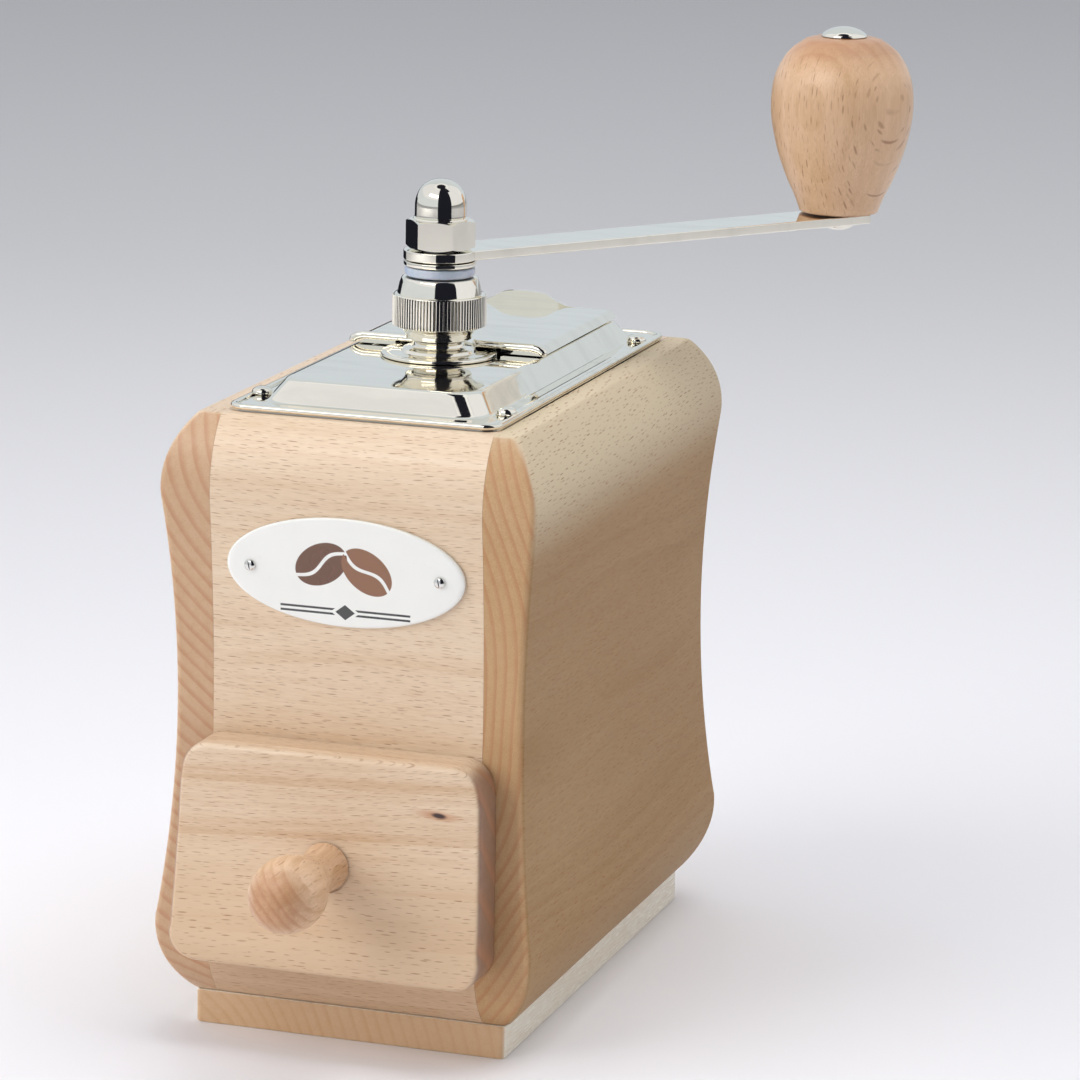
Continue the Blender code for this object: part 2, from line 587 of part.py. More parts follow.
def make_handle(crank_axis, handle_axis, knob_x, knob_y):
    outside = curve_through([
        (10.0, 183.2), (11.6, 187.3), (13.8, 192.0), (16.4, 199.5),
        (18.05, 208.5), (17.4, 217.0), (14.2, 223.4), (9.8, 226.9),
    ], 2)
    knob = [(SPINDLE_BORE, KNOB_LOW), (9.6, KNOB_LOW), *outside]
    knob += [(7.0, KNOB_SHOULDER), (SPINDLE_BORE, KNOB_SHOULDER)]
    add("handle_knob", lathe(knob, 24), DARK_BEECH, handle_axis)
    head = KNOB_SHOULDER + GAP
    spindle = [
        (0, ARM_LOW - 1.9), (2.6, ARM_LOW - 1.8), (3.9, ARM_LOW - 1.0), (4.1, ARM_LOW - GAP),
        (SPINDLE_R, ARM_LOW - GAP), (SPINDLE_R, head), (5.7, head), (5.75, head + 0.25),
        (4.9, head + 1.1), (3.4, head + 1.9), (1.8, head + 2.3), (0, head + 2.4),
    ]
    add("handle_spindle", lathe(spindle, 16), CHROME, crank_axis, (knob_x, knob_y, 0))


# --- lid -----------------------------------------------------------------------------------------


def make_lid(lid_path):
    """The sliding cover of the fill opening: turned-down sides, a bead in front, a thumb tab behind."""
    side = [(LID_HALF_LOW, LID_LOW), (LID_HALF_TOP + 0.5, LID_TOP - 0.35), (LID_HALF_TOP, LID_TOP)]
    under = [(LID_HALF_TOP - 0.3, LID_TOP - SHEET), (LID_HALF_LOW - 0.95, LID_LOW)]
    outline = side + [(-x, z) for x, z in reversed(side)] + [(-x, z) for x, z in reversed(under)] + under
    sheet = add("lid", prism(outline, LID_NEAR + LID_BEAD_R, LID_FAR, "Y"), CHROME, lid_path)
    half = LID_HALF_TOP + 1.2
    at = (0, LID_NEAR + LID_BEAD_R, LID_TOP - SHEET + LID_BEAD_R)
    fuse(sheet, rod(LID_BEAD_R, -half, half, 12), "bead", at, (0, math.radians(90), 0))
    foot, steps = TAB_HALF + 0.5, 8
    tab = [(-foot, LID_TOP - 0.6)]
    for i in range(steps + 1):
        angle = math.pi * (1 - i / steps)
        tab.append((TAB_HALF * math.cos(angle), LID_TOP - 0.1 + TAB_RISE * math.sin(angle)))
    tab.append((foot, LID_TOP - 0.6))
    fuse(sheet, prism(tab, LID_FAR - SHEET, LID_FAR + 0.1, "Y"), "tab")
    cut(sheet, rod(LID_NOTCH_R, 150, 165, 32), "neck_notch", (0, AXIS_Y, 0))


# --- drawer --------------------------------------------------------------------------------------


def make_drawer(path):
    """A small coffee drawer: an overlay front that follows the box, and a tray of thin boards."""
    corner_steps = 5
    straight = DRAWER_HIGH - DRAWER_LOW - 2 * DRAWER_CORNER
    heights = [DRAWER_LOW + DRAWER_CORNER + straight * t for t in (0.0, 0.25, 0.5, 0.75, 1.0)]

    def half_at(z):
        share = (z - DRAWER_LOW) / (DRAWER_HIGH - DRAWER_LOW)
        return DRAWER_HALF_LOW + (DRAWER_HALF_HIGH - DRAWER_HALF_LOW) * share

    def edge(inset):
        """The outline seen from the front, as (x, z), set in from the edge by a little."""
        right = []
        low, high, r = DRAWER_LOW + inset, DRAWER_HIGH - inset, DRAWER_CORNER - inset
        for i in range(corner_steps):
            angle = math.radians(90 * i / corner_steps)
            right.append((half_at(low) - inset - r + r * math.sin(angle), low + r - r * math.cos(angle)))
        right += [(half_at(z) - inset, z) for z in heights]
        for i in range(1, corner_steps + 1):
            angle = math.radians(90 * i / corner_steps)
            right.append((half_at(high) - inset - r + r * math.cos(angle), high - r + r * math.sin(angle)))
        return right + [(-x, z) for x, z in reversed(right)]

    out = DRAWER_OFF + DRAWER_FRONT_THICK
    steps = ((0.0, DRAWER_OFF), (0.0, out - 0.8), (0.25, out - 0.2), (0.8, out))
    loops = [[(x, -(TOP_HALF_Y + swell(z) + off), z) for x, z in edge(inset)] for inset, off in steps]
    face = add("drawer_front", strip_caps(loops), BEECH, path)
    wall = SEAM_X - GAP - 0.5
    back_of_front = -(TOP_HALF_Y + swell(DRAWER_HIGH) - 0.4)
    for side, name in ((-1, "drawer_side_left"), (1, "drawer_side_right")):
        x0, x1 = sorted((side * wall, side * (wall - TRAY_WALL)))
        outline = [(-(TOP_HALF_Y + swell(z)) + 0.2, z) for z in (TRAY_LOW, 34.0, 46.0, 58.0, TRAY_HIGH)]
        outline += [(TRAY_BACK, TRAY_HIGH), (TRAY_BACK, TRAY_LOW)]
        add(name, prism(outline, x0, x1, "X"), BEECH, path)
    inner = wall - TRAY_WALL - GAP
    tray_back = TRAY_BACK - TRAY_WALL
    add("drawer_back", box(-inner, inner, tray_back, TRAY_BACK, TRAY_LOW, TRAY_HIGH - 2), BEECH, path)
    floor = box(-inner, inner, back_of_front + 0.5, tray_back - GAP, TRAY_LOW, TRAY_LOW + TRAY_FLOOR)
    add("drawer_floor", floor, BEECH, path)
    turned = curve_through([
        (5.9, 0.0), (5.3, 4.0), (5.5, 9.0), (6.9, 15.0), (8.6, 21.0),
        (8.8, 25.0), (7.9, 29.2), (5.2, 32.4), (2.2, 33.6),
    ], 2)
    outline = [(0, 33.8), *turned[::-1], (1.8, 0), (1.8, 14.0), (0, 14.8)]
    at = (0, -(TOP_HALF_Y + swell(KNOB_Z) + out + GAP), KNOB_Z)
    turn = (math.radians(90), 0, 0)
    add("drawer_knob", lathe(outline, 20), DARK_BEECH, path, at, turn)
    inside = -(DRAWER_FRONT_THICK + GAP) - 0.6
    screw = [(0, inside - 2.4), (2.6, inside - 1.6), (3.2, inside), (1.4, inside), (1.4, 12.6), (0, 13.6)]
    add("drawer_knob_screw", lathe(screw, 14), STEEL, path, at, turn)
    cut(face, rod(1.8, -20, 5, 14), "knob_screw", at, turn)
    cut(face, rod(6.3, -GAP, 5, 24), "knob_seat", at, turn)


def strip_caps(loops):
    """Skins loops that share one outline, and closes both ends with strips from side to side."""
    bm = bmesh.new()
    rows = [[bm.verts.new(point) for point in loop] for loop in loops]
    count = len(rows[0])
    for low, high in zip(rows, rows[1:]):
        for i in range(count):
            j = (i + 1) % count
            bm.faces.new((low[i], low[j], high[j], high[i]))
    for row in (rows[0], rows[-1]):
        for i in range(count // 2 - 1):
            bm.faces.new((row[i], row[i + 1], row[count - 2 - i], row[count - 1 - i]))
    return bm


def main():
    nut_axis = axis_empty("adjuster_axis", 0, AXIS_Y)
    crank_axis = axis_empty("crank_axis", 0, AXIS_Y)
    lid_path = axis_empty("lid_path", 0, 0)
    drawer_path = axis_empty("drawer_path", 0, 0)
    make_box()
    make_label()
    make_top()
    make_neck()
    make_funnel()
    make_burrs(crank_axis)
    make_adjuster(nut_axis)
    knob_x, knob_y = make_crank(crank_axis)
    handle_axis = axis_empty("handle_axis", knob_x, AXIS_Y + knob_y)
    make_handle(crank_axis, handle_axis, knob_x, knob_y)
    make_lid(lid_path)
    make_drawer(drawer_path)


main()
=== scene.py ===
"""Looks of a wooden box coffee mill: beech boards, a chromed sheet-steel top, a crank and a drawer.

Lengths in the geometry are in millimetres, and MM turns them into metres. +Y is the back, +Z is up.
"""

import math

import bmesh
import bpy
from mathutils import Matrix, Vector


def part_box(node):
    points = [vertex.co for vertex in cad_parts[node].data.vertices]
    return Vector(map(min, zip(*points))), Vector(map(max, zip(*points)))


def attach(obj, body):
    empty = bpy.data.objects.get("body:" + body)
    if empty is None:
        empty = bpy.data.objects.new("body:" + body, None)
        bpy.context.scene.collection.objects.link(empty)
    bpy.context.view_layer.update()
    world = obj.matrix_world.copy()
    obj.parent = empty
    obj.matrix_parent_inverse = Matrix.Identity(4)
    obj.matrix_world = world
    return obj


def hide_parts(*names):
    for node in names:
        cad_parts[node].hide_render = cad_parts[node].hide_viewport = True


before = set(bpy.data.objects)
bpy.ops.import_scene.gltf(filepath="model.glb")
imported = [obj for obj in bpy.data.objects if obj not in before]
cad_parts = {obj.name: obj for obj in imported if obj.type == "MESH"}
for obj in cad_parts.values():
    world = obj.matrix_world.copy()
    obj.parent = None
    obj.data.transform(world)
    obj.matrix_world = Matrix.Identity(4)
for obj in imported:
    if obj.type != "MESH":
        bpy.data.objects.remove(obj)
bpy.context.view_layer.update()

MM = 0.001


def span(node):
    """A node's lowest and highest corners in millimetres."""
    low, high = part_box(node)
    return low / MM, high / MM


def heights(node):
    """A node's lowest and highest Z in millimetres."""
    low, high = span(node)
    return low.z, high.z


# Box: the same outline rule as the design, a waist between two round bulges.
BOARD_LOW, BODY_TOP = heights("left_side_board")
TOP_HALF_X, TOP_HALF_Y = 39.45, 69.3
WAIST_Z, WAIST_OUT, WAIST_CURVE = 82.0, 4.0, 750.0
TOP_BULGE_Z, TOP_BULGE_OUT, TOP_ARC, TOP_ARC_FROM = 132.5, 7.2, 25.0, 130.0
LOW_BULGE_Z, LOW_BULGE_OUT, LOW_ARC, LOW_ARC_TO = 26.0, 8.0, 24.3, 28.0
EDGE_ROUND, EDGE_EASE = 1.6, 0.45
SEAM_X, INNER_Y = 33.75, 61.5
SEAM_GAP = 0.05
PLINTH_CORNER = 1.5

# Drawer. Its front stands off the box, and the front board laps down behind its upper edge.
DRAWER_LOW, DRAWER_HIGH = heights("drawer_front")
DRAWER_HALF_LOW, DRAWER_HALF_HIGH = 39.0, 37.2
DRAWER_FRONT_THICK, DRAWER_CORNER, DRAWER_OFF, DRAWER_EDGE, DRAWER_LAP = 11.4, 7.0, 0.4, 1.3, 2.2
KNOT_X, KNOT_Z = 27.5, 62.8
KNOB_Z, KNOB_SEAT_R, KNOB_SEAT_DEPTH, KNOB_PLAY = 47.85, 6.3, 0.3, 0.25
KNOB_BASE_Y = span("drawer_knob")[1].y

# Sheet-steel top.
PLATE_HALF_X, PLATE_HALF_Y = span("top_plate")[1].x, span("top_plate")[1].y
PLATE_FLAT, PLATE_RIM, RIM_ROUND, PLATE_CORNER, STAGE_CORNER_GAIN = 151.4, 151.8, 0.75, 4.6, 2.4
FOOT_X, FOOT_Y, STAGE_X, STAGE_Y = 27.6, 60.5, 24.0, 56.6
STAGE_Z = heights("top_plate")[1]
SHEET = 0.8
SCREW_X, SCREW_Y, SCREW_HEAD_R = 30.6, 51.2, 2.5
NECK_HOLE_R = 8.3
FILL_HALF_X, FILL_NEAR, FILL_FAR, FILL_CORNER = 18.0, 4.0, 47.0, 6.0

# What stands on the grinding axis.
AXIS_Y = (span("neck_bush")[0].y + span("neck_bush")[1].y) / 2
BORE_R = 4.3
FLANGE_R, NECK_R, NECK_TOP = 14.2, 6.2, heights("neck_bush")[1]
THREAD_PITCH, THREAD_DEPTH = 0.8, 0.35
NUT_LOW, NUT_TOP = heights("adjusting_nut")
RIB_LOW, RIB_HIGH, RIB_OUTER, RIB_COUNT, RIB_R = 164.3, 171.6, 11.5, 88, 0.31
WASHER_LOW, WASHER_HIGH = heights("nylon_washer")
WASHER_R, WASHER_ROUND = 8.5, 0.5
BOSS_LOW, BOSS_HIGH = heights("crank_washer")
BOSS_R, BOSS_ROUND = 8.8, 0.3
ARM_LOW, ARM_HIGH = heights("crank_arm")
ARM_WIDE, ARM_HUB_R, ARM_ROUND = 13.8, 8.9, 0.9
ARM_ANGLE, ARM_REACH, ARM_END = math.radians(53.0), 122.0, 127.5
CAP_LOW, CAP_TOP = heights("acorn_nut")
CAP_SHOULDER, CAP_FLATS, CAP_TURN, CAP_BORE_TOP = 190.0, 14.8, 10.0, 196.4
DOME_R, DOME_RISE, DOME_FULLNESS = 6.3, 6.6, 0.85
SPRING_R, SPRING_WIRE, SPRING_TURNS, SPRING_GAP = 6.1, 0.55, 3.5, 0.4
HANDLE_X = ARM_REACH * math.cos(ARM_ANGLE)
HANDLE_Y = AXIS_Y + ARM_REACH * math.sin(ARM_ANGLE)
HANDLE_LOW, HANDLE_TOP = heights("handle_knob")
PIN_BORE_R, PIN_R = 2.8, 2.5

# Lid and label.
LID_NEAR, LID_FAR, LID_LOW, LID_TOP = -6.9, 53.5, heights("lid")[0], 158.7
LID_HALF_LOW, LID_HALF_TOP, LID_NOTCH_R, LID_BEAD_R, LID_FLAP_X = 24.5, 22.6, 9.6, 0.95, 13.6
TAB_HALF_X, TAB_THICK = 16.0, 1.0
LABEL_Z, LABEL_HALF_X, LABEL_HALF_Z, LABEL_PIN_X, LABEL_FACE = 115.8, 29.5, 13.2, 23.5, 1.3
LABEL_POINTS, PIN_SLOT_HALF, EMBLEM_SCALE = 128, 0.16, 1.25

# Studio, in metres. The camera stands at the front right and a little above.
STUDIO_RADIUS, CARD_MIDDLE, LAMP_AIM = 9.0, 0.15, 0.1
VIEW_AZIMUTH, VIEW_ELEVATION, VIEW_ROLL = math.radians(18.124), math.radians(12.772), math.radians(1.146)
VIEW_TARGET, VIEW_DISTANCE, VIEW_LENS, SENSOR = (22.716, 0.0, 109.936), 1184.626, 160.65, 36.0


# --- node graphs ---------------------------------------------------------------------------------


class Value:
    """A socket of a node graph. Python's operators on it add Math nodes."""

    def __init__(self, graph, socket):
        self.graph = graph
        self.socket = socket

    def __add__(self, other):
        return self.graph.maths("ADD", self, other)

    def __radd__(self, other):
        return self.graph.maths("ADD", other, self)

    def __sub__(self, other):
        return self.graph.maths("SUBTRACT", self, other)

    def __rsub__(self, other):
        return self.graph.maths("SUBTRACT", other, self)

    def __mul__(self, other):
        return self.graph.maths("MULTIPLY", self, other)

    def __rmul__(self, other):
        return self.graph.maths("MULTIPLY", other, self)

    def __truediv__(self, other):
        return self.graph.maths("DIVIDE", self, other)

    def __pow__(self, other):
        return self.graph.maths("POWER", self, other)

    def __abs__(self):
        return self.graph.maths("ABSOLUTE", self)

    def out(self, name):
        """Another output of the same node."""
        return Value(self.graph, self.socket.node.outputs[name])

    def step(self, low, high):
        """0 below low, 1 above high, and smooth between them. It falls where high is under low."""
        inputs = {"Value": self, "From Min": min(low, high), "From Max": max(low, high)}
        inputs |= {"To Min": float(low > high), "To Max": float(low < high)}
        return self.graph.node("ShaderNodeMapRange", {"interpolation_type": "SMOOTHSTEP"}, inputs)


class Graph:
    """A node tree that is built by calls."""

    def __init__(self, tree):
        self.tree = tree
        tree.nodes.clear()

    def node(self, kind, settings, inputs, output=0):
        made = self.tree.nodes.new(kind)
        for name, value in settings.items():
            setattr(made, name, value)
        for key, value in inputs.items():
            if isinstance(value, Value):
                self.tree.links.new(value.socket, made.inputs[key])
            else:
                made.inputs[key].default_value = value
        return Value(self, made.outputs[output]) if made.outputs else None

    def maths(self, operation, *values):
        return self.node("ShaderNodeMath", {"operation": operation}, dict(enumerate(values)))

    def vector(self, operation, *values, output="Vector"):
        return self.node("ShaderNodeVectorMath", {"operation": operation}, dict(enumerate(values)), output)

    def mix(self, first, second, factor, blend="MIX"):
        """Mixes two colours."""
        settings = {"data_type": "RGBA", "blend_type": blend, "clamp_factor": True}
        return self.node("ShaderNodeMix", settings, {0: factor, 6: first, 7: second}, 2)

    def noise(self, place, stretch, detail=2.0, rough=0.5):
        """A noise value about 0.5, with its own frequency along each axis."""
        inputs = {"Vector": self.vector("MULTIPLY", place, stretch), "Scale": 1.0, "Detail": detail}
        return self.node("ShaderNodeTexNoise", {}, inputs | {"Roughness": rough})


class Finish(Graph):
    """A material's graph. Its place is in millimetres on the piece, turned and moved as asked."""

    def __init__(self, name, turn=(0, 0, 0), move=(0, 0, 0)):
        self.material = bpy.data.materials.new(name)
        self.material.use_nodes = True
        super().__init__(self.material.node_tree)
        self.coordinates = self.node("ShaderNodeTexCoord", {}, {}, "Object")
        inputs = {"Vector": self.coordinates, "Rotation": turn, "Scale": (1 / MM,) * 3, "Location": move}
        self.place = self.node("ShaderNodeMapping", {}, inputs)

    def axes(self, place):
        parts = self.node("ShaderNodeSeparateXYZ", {}, {"Vector": place})
        return parts, parts.out("Y"), parts.out("Z")

    def surface(self, inputs, height=None, depth=0.1, strength=0.3):
        """The finish itself, with a relief of so many millimetres if a height is given."""
        if height is not None:
            bump = {"Height": height, "Distance": depth * MM, "Strength": strength}
            inputs = inputs | {"Normal": self.node("ShaderNodeBump", {}, bump)}
        shader = self.node("ShaderNodeBsdfPrincipled", {}, inputs)
        self.node("ShaderNodeOutputMaterial", {}, {"Surface": shader})
        return self.material


def rgb(*parts):
    """A colour with full alpha."""
    return (*parts, 1.0)


# --- finishes ------------------------------------------------------------------------------------

# How a piece's wood is turned: the way its grain runs, and the side on which the tree's heart lies.
ALONG_X = (math.pi, 0.0, 0.0)
ALONG_Y_LEFT = (0.0, 0.0, -math.pi / 2)
ALONG_Y_RIGHT = (0.0, 0.0, math.pi / 2)
ALONG_Z = (0.0, math.pi / 2, 0.0)
BEHIND_X = (0.0, 0.0, 0.0)
GRAIN_AXIS = {
    ALONG_X: (1, 0, 0), BEHIND_X: (1, 0, 0), ALONG_Z: (0, 0, 1),
    ALONG_Y_LEFT: (0, 1, 0), ALONG_Y_RIGHT: (0, 1, 0),
}

# Ray flecks: the spacing of their cells along, round and out from the heart, and how slim they are.
FLECK_ALONG, FLECK_ROUND, FLECK_OUT = 3.6, 1.1, 16.0
FLECK_SLIM = (1.9, 6.2, 0.7)
FLECK_INK = (0.33, 0.14, 0.06)


def beech(name, grain, heart, reach, ring=4.2, figure=1.0, pale=(0.82, 0.65, 0.48),
          deep=(0.73, 0.53, 0.35), gloss=0.46, sheen=0.42, tilt=0.0, fleck_ink=0.72,
          end_grain_tone_and_shade=(0.74, 0.61, 0.50), end_lines=0.42, band=None, knot=None):
    """Beech as solid wood: growth rings round the heart, ray flecks, fibres, and toned end grain.

    In the wood's own axes X runs along the grain. heart moves the piece so that the tree's centre is at
    0, reach is about how far the piece lies from it, and ring is the width of a growth ring. band is
    (height where it starts, height where it is full, colour), and knot is a place (x, z) on the front.
    The band is a painted highlight on the right side board's upper bulge; on the drawer front it only
    makes the wood darker towards the bottom. The end-grain tone is the end grain's own darker colour,
    with painted shade added on some pieces and taken off again on others.
    """
    turn = (grain[0], grain[1] + tilt, grain[2])
    g = Finish(name, turn, heart)
    wander = g.node("ShaderNodeTexNoise", {}, {
        "Vector": g.vector("MULTIPLY", g.place, (0.006, 0.016, 0.016)), "Scale": 1.0, "Detail": 1.0,
    }, "Color")
    drift = g.vector("MULTIPLY", g.vector("SUBTRACT", wander, (0.5, 0.5, 0.5)), (0.0, 16.0, 16.0))
    along, across, deepness = g.axes(g.vector("ADD", g.place, drift))
    radius = (across * across + deepness * deepness) ** 0.5
    angle = g.maths("ARCTAN2", deepness, across)

    season = g.maths("FRACT", radius / ring)
    late = season.step(0.35, 0.93) * season.step(1.0, 0.95)
    line = season.step(0.45, 0.84) * season.step(1.0, 0.88)
    rings = late * g.noise(g.place, (0.004, 0.11, 0.11)).step(0.35, 0.62)

    place = {0: along / FLECK_ALONG, 1: angle * (reach / FLECK_ROUND), 2: radius / FLECK_OUT}
    cell = g.node("ShaderNodeCombineXYZ", {}, place)
    fleck = g.node("ShaderNodeTexVoronoi", {}, {"Vector": cell, "Scale": 1.0, "Randomness": 1.0}, "Position")
    size = g.node("ShaderNodeSeparateXYZ", {}, {"Vector": fleck.out("Color")})
    offset = g.vector("MULTIPLY", g.vector("SUBTRACT", cell, fleck), FLECK_SLIM)
    distance = g.vector("LENGTH", offset, output="Value") / (0.5 + 0.5 * size)
    normal = g.node("ShaderNodeTexCoord", {}, {}, "Normal")
    end = abs(g.vector("DOT_PRODUCT", normal, GRAIN_AXIS[grain], output="Value")).step(0.35, 0.9)
    flecks = distance.step(1.0, 0.35) * (0.3 + 0.7 * size.out("Y")) * (1.0 - end)

    fibre = g.noise(g.place, (0.22, 3.4, 3.4), detail=3.0, rough=0.6)
    streak = g.noise(g.place, (0.012, 0.55, 0.55), detail=2.0)
    cloud = g.noise(g.place, (0.008, 0.03, 0.03), detail=2.0)
    shade = 0.5 + (cloud - 0.5) * 1.5 + (streak - 0.5) * (1.3 * figure)
    shade = shade + rings * (0.55 * figure) - 0.16 * figure
    wood = g.mix(rgb(*pale), rgb(*deep), shade)
    light = [min(1.0, 1.08 * c + 0.06) for c in pale]
    wood = g.mix(wood, rgb(*light), (fibre - 0.5).step(-0.02, 0.26) * 0.30)
    wood = g.mix(wood, rgb(0.80, 0.66, 0.54), (0.5 - fibre).step(-0.02, 0.26) * 0.45, "MULTIPLY")
    # A colour laid on by height: a painted highlight on the right side board's upper bulge, and darker
    # towards the bottom on the drawer front.
    if band:
        height = g.axes(g.vector("MULTIPLY", g.coordinates, (1 / MM,) * 3))[2]
        wood = g.mix(wood, rgb(*band[2]), height.step(band[0], band[1]) * (1.0 - end) * 0.7)
    wood = g.mix(wood, rgb(*FLECK_INK), flecks * fleck_ink)
    # End grain multiplied by its tone: the wood's own darker end grain. The drawer front's ends are darkened
    # further as painted shade, and the right side board's front end is lightened to undo that board's
    # painted shade.
    wood = g.mix(wood, rgb(*end_grain_tone_and_shade), end, "MULTIPLY")
    wood = g.mix(wood, rgb(0.50, 0.22, 0.11), end * line * end_lines)
    if knot:
        wood = knot_in(g, wood, *knot)
    roughness = gloss + (fibre - 0.5) * 0.22 + flecks * 0.12 + end * 0.06
    relief = fibre * 0.6 - flecks * 0.9 + streak * 0.5
    inputs = {"Base Color": wood, "Roughness": roughness, "Specular IOR Level": sheen}
    inputs |= {"Coat Weight": sheen, "Coat Roughness": 0.3}
    return g.surface(inputs, relief, 0.09, 0.35)


def knot_in(g, wood, x, z):
    """A pin knot at a place on the front, with a reddish streak through it along the grain."""
    place = g.vector("MULTIPLY", g.coordinates, (1 / MM,) * 3)
    across, _, up = g.axes(place)
    side = across - x
    rise = up - z + side * 0.07
    streak = (((side + 0.4) / 7.0) ** 2.0 + (rise / 1.5) ** 2.0) ** 0.5
    core = ((side / 2.2) ** 2.0 + (rise / 0.75) ** 2.0) ** 0.5
    wood = g.mix(wood, rgb(0.50, 0.20, 0.09), streak.step(1.1, 0.1) * 0.72)
    return g.mix(wood, rgb(0.045, 0.02, 0.02), core.step(1.1, 0.45))


def chrome(name, tint=(0.93, 0.89, 0.79), rough=0.035):
    """Bright nickel-chrome plate, with faint unevenness and wiping marks."""
    g = Finish(name)
    smear = g.noise(g.place, (0.05, 0.21, 0.09), detail=3.0)
    speck = g.noise(g.place, (2.1, 2.1, 2.1), detail=2.0)
    roughness = rough + smear.step(0.42, 0.75) * 0.05 + speck.step(0.58, 0.8) * 0.05
    colour = g.mix(rgb(*tint), rgb(*[c * 0.93 for c in tint]), smear.step(0.4, 0.7))
    relief = g.noise(g.place, (0.09, 0.09, 0.09), detail=1.0)
    inputs = {"Base Color": colour, "Metallic": 1.0, "Roughness": roughness}
    return g.surface(inputs, relief, 0.06, 0.5)


def steel(name, tint=(0.55, 0.55, 0.56), rough=0.34):
    """Plain bright steel with the fine lines of rolling and turning."""
    g = Finish(name)
    lines = g.noise(g.place, (0.3, 0.3, 6.0), detail=3.0)
    stain = g.noise(g.place, (0.12, 0.12, 0.12), detail=4.0)
    colour = g.mix(rgb(*tint), rgb(0.33, 0.31, 0.29), stain.step(0.48, 0.75) * 0.6)
    roughness = rough + (lines - 0.5) * 0.3 + stain.step(0.5, 0.8) * 0.15
    return g.surface({"Base Color": colour, "Metallic": 1.0, "Roughness": roughness}, lines, 0.02, 0.5)


def cast_iron(name):
    """Hardened cast iron, dark and a little grainy."""
    g = Finish(name)
    grain = g.noise(g.place, (1.8, 1.8, 1.8), detail=5.0, rough=0.65)
    bloom = g.noise(g.place, (0.15, 0.15, 0.15), detail=3.0)
    colour = g.mix(rgb(0.10, 0.10, 0.11), rgb(0.20, 0.18, 0.16), bloom)
    roughness = 0.42 + (grain - 0.5) * 0.5
    return g.surface({"Base Color": colour, "Metallic": 0.85, "Roughness": roughness}, grain, 0.12, 0.6)


def nylon(name):
    """Milky bearing nylon with a cool cast and fine turning lines."""
    g = Finish(name)
    cloud = g.noise(g.place, (0.25, 0.25, 0.25), detail=3.0)
    lines = g.noise(g.place, (0.2, 0.2, 5.0), detail=2.0)
    colour = g.mix(rgb(0.47, 0.54, 0.66), rgb(0.62, 0.67, 0.77), cloud.step(0.3, 0.7))
    roughness = 0.36 + (lines - 0.5) * 0.2
    inputs = {"Base Color": colour, "Roughness": roughness}
    inputs |= {"Subsurface Weight": 0.25, "Subsurface Scale": MM}
    return g.surface(inputs, lines, 0.02, 0.3)


def enamel(name):
    """Off-white enamel with a printed emblem of two coffee beans over a rule."""
    g = Finish(name, move=(0.0, 0.0, -LABEL_Z))
    x, _, z = g.axes(g.place)
    x, z = x / EMBLEM_SCALE, z / EMBLEM_SCALE
    ink = bean(g, x + 4.6, z - 1.4, 0.5)
    second = bean(g, x - 4.4, z - 0.6, -0.65)
    rule = abs(abs(z + 7.6) - 0.45).step(0.26, 0.16) * abs(x).step(13.0, 12.8)
    out = abs(x) + abs(z + 7.6) * 1.3
    diamond, gap = out.step(2.0, 1.85), out.step(2.9, 2.8)
    rule = g.maths("MAXIMUM", rule * (1.0 - gap), diamond)
    flow = g.noise(g.place, (0.12, 0.12, 0.12), detail=2.0)
    speck = g.noise(g.place, (1.6, 1.6, 1.6), detail=2.0)
    ground = g.mix(rgb(0.95, 0.95, 0.92), rgb(0.90, 0.90, 0.87), flow)
    ground = g.mix(ground, rgb(0.70, 0.68, 0.62), speck.step(0.68, 0.8) * 0.3)
    ground = g.mix(ground, rgb(0.16, 0.075, 0.045), ink)
    ground = g.mix(ground, rgb(0.28, 0.13, 0.07), second)
    ground = g.mix(ground, rgb(0.06, 0.06, 0.06), rule)
    roughness = 0.16 + (flow - 0.5) * 0.1 + g.maths("MAXIMUM", ink, rule) * 0.12
    inputs = {"Base Color": ground, "Roughness": roughness, "Coat Weight": 0.4}
    return g.surface(inputs, flow, 0.15, 0.25)


def bean(g, x, z, lean):
    """The ink of a coffee bean: an oval with a wavy split along it."""
    c, s = math.cos(lean), math.sin(lean)
    along = x * c + z * s
    across = z * c - x * s
    oval = ((along / 5.6) ** 2.0 + (across / 3.9) ** 2.0) ** 0.5
    wave = across - g.maths("SINE", along * 0.62) * 0.75
    return oval.step(1.0, 0.97) * abs(wave).step(0.28, 0.42)


def pale_floor(name):
    """A matt studio sweep, pale round the mill and greyer far from it: a painted pool of light, with painted
    shade where the lamps' light falls off.
    """
    g = Finish(name)
    far = g.vector("LENGTH", g.vector("MULTIPLY", g.coordinates, (1.0, 1.0, 0.0)), output="Value")
    # Painted shade: the floor's colour turns greyer with distance from the mill, standing in for the falloff
    # of the lamps' light.
    colour = g.mix(rgb(0.88, 0.875, 0.91), rgb(0.68, 0.675, 0.69), far.step(0.0, 1.2))
    tooth = g.noise(g.place, (0.4, 0.4, 0.4), detail=2.0)
    roughness = 0.85 + (tooth - 0.5) * 0.1
    return g.surface({"Base Color": colour, "Roughness": roughness, "Specular IOR Level": 0.1})


# --- shapes --------------------------------------------------------------------------------------


def skin(bm, pairs):
    """Joins pairs of loops of equally many points with four-sided faces."""
    for low, high in pairs:
        for i in range(len(low)):
            j = (i + 1) % len(low)
            bm.faces.new((low[i], low[j], high[j], high[i]))


def loft(loops):
    """Skins loops of equally many points, and caps both ends."""
    bm = bmesh.new()
    rows = [[bm.verts.new(point) for point in loop] for loop in loops]
    skin(bm, zip(rows, rows[1:]))
    bm.faces.new(rows[0][::-1])
    bm.faces.new(rows[-1])
    return bm


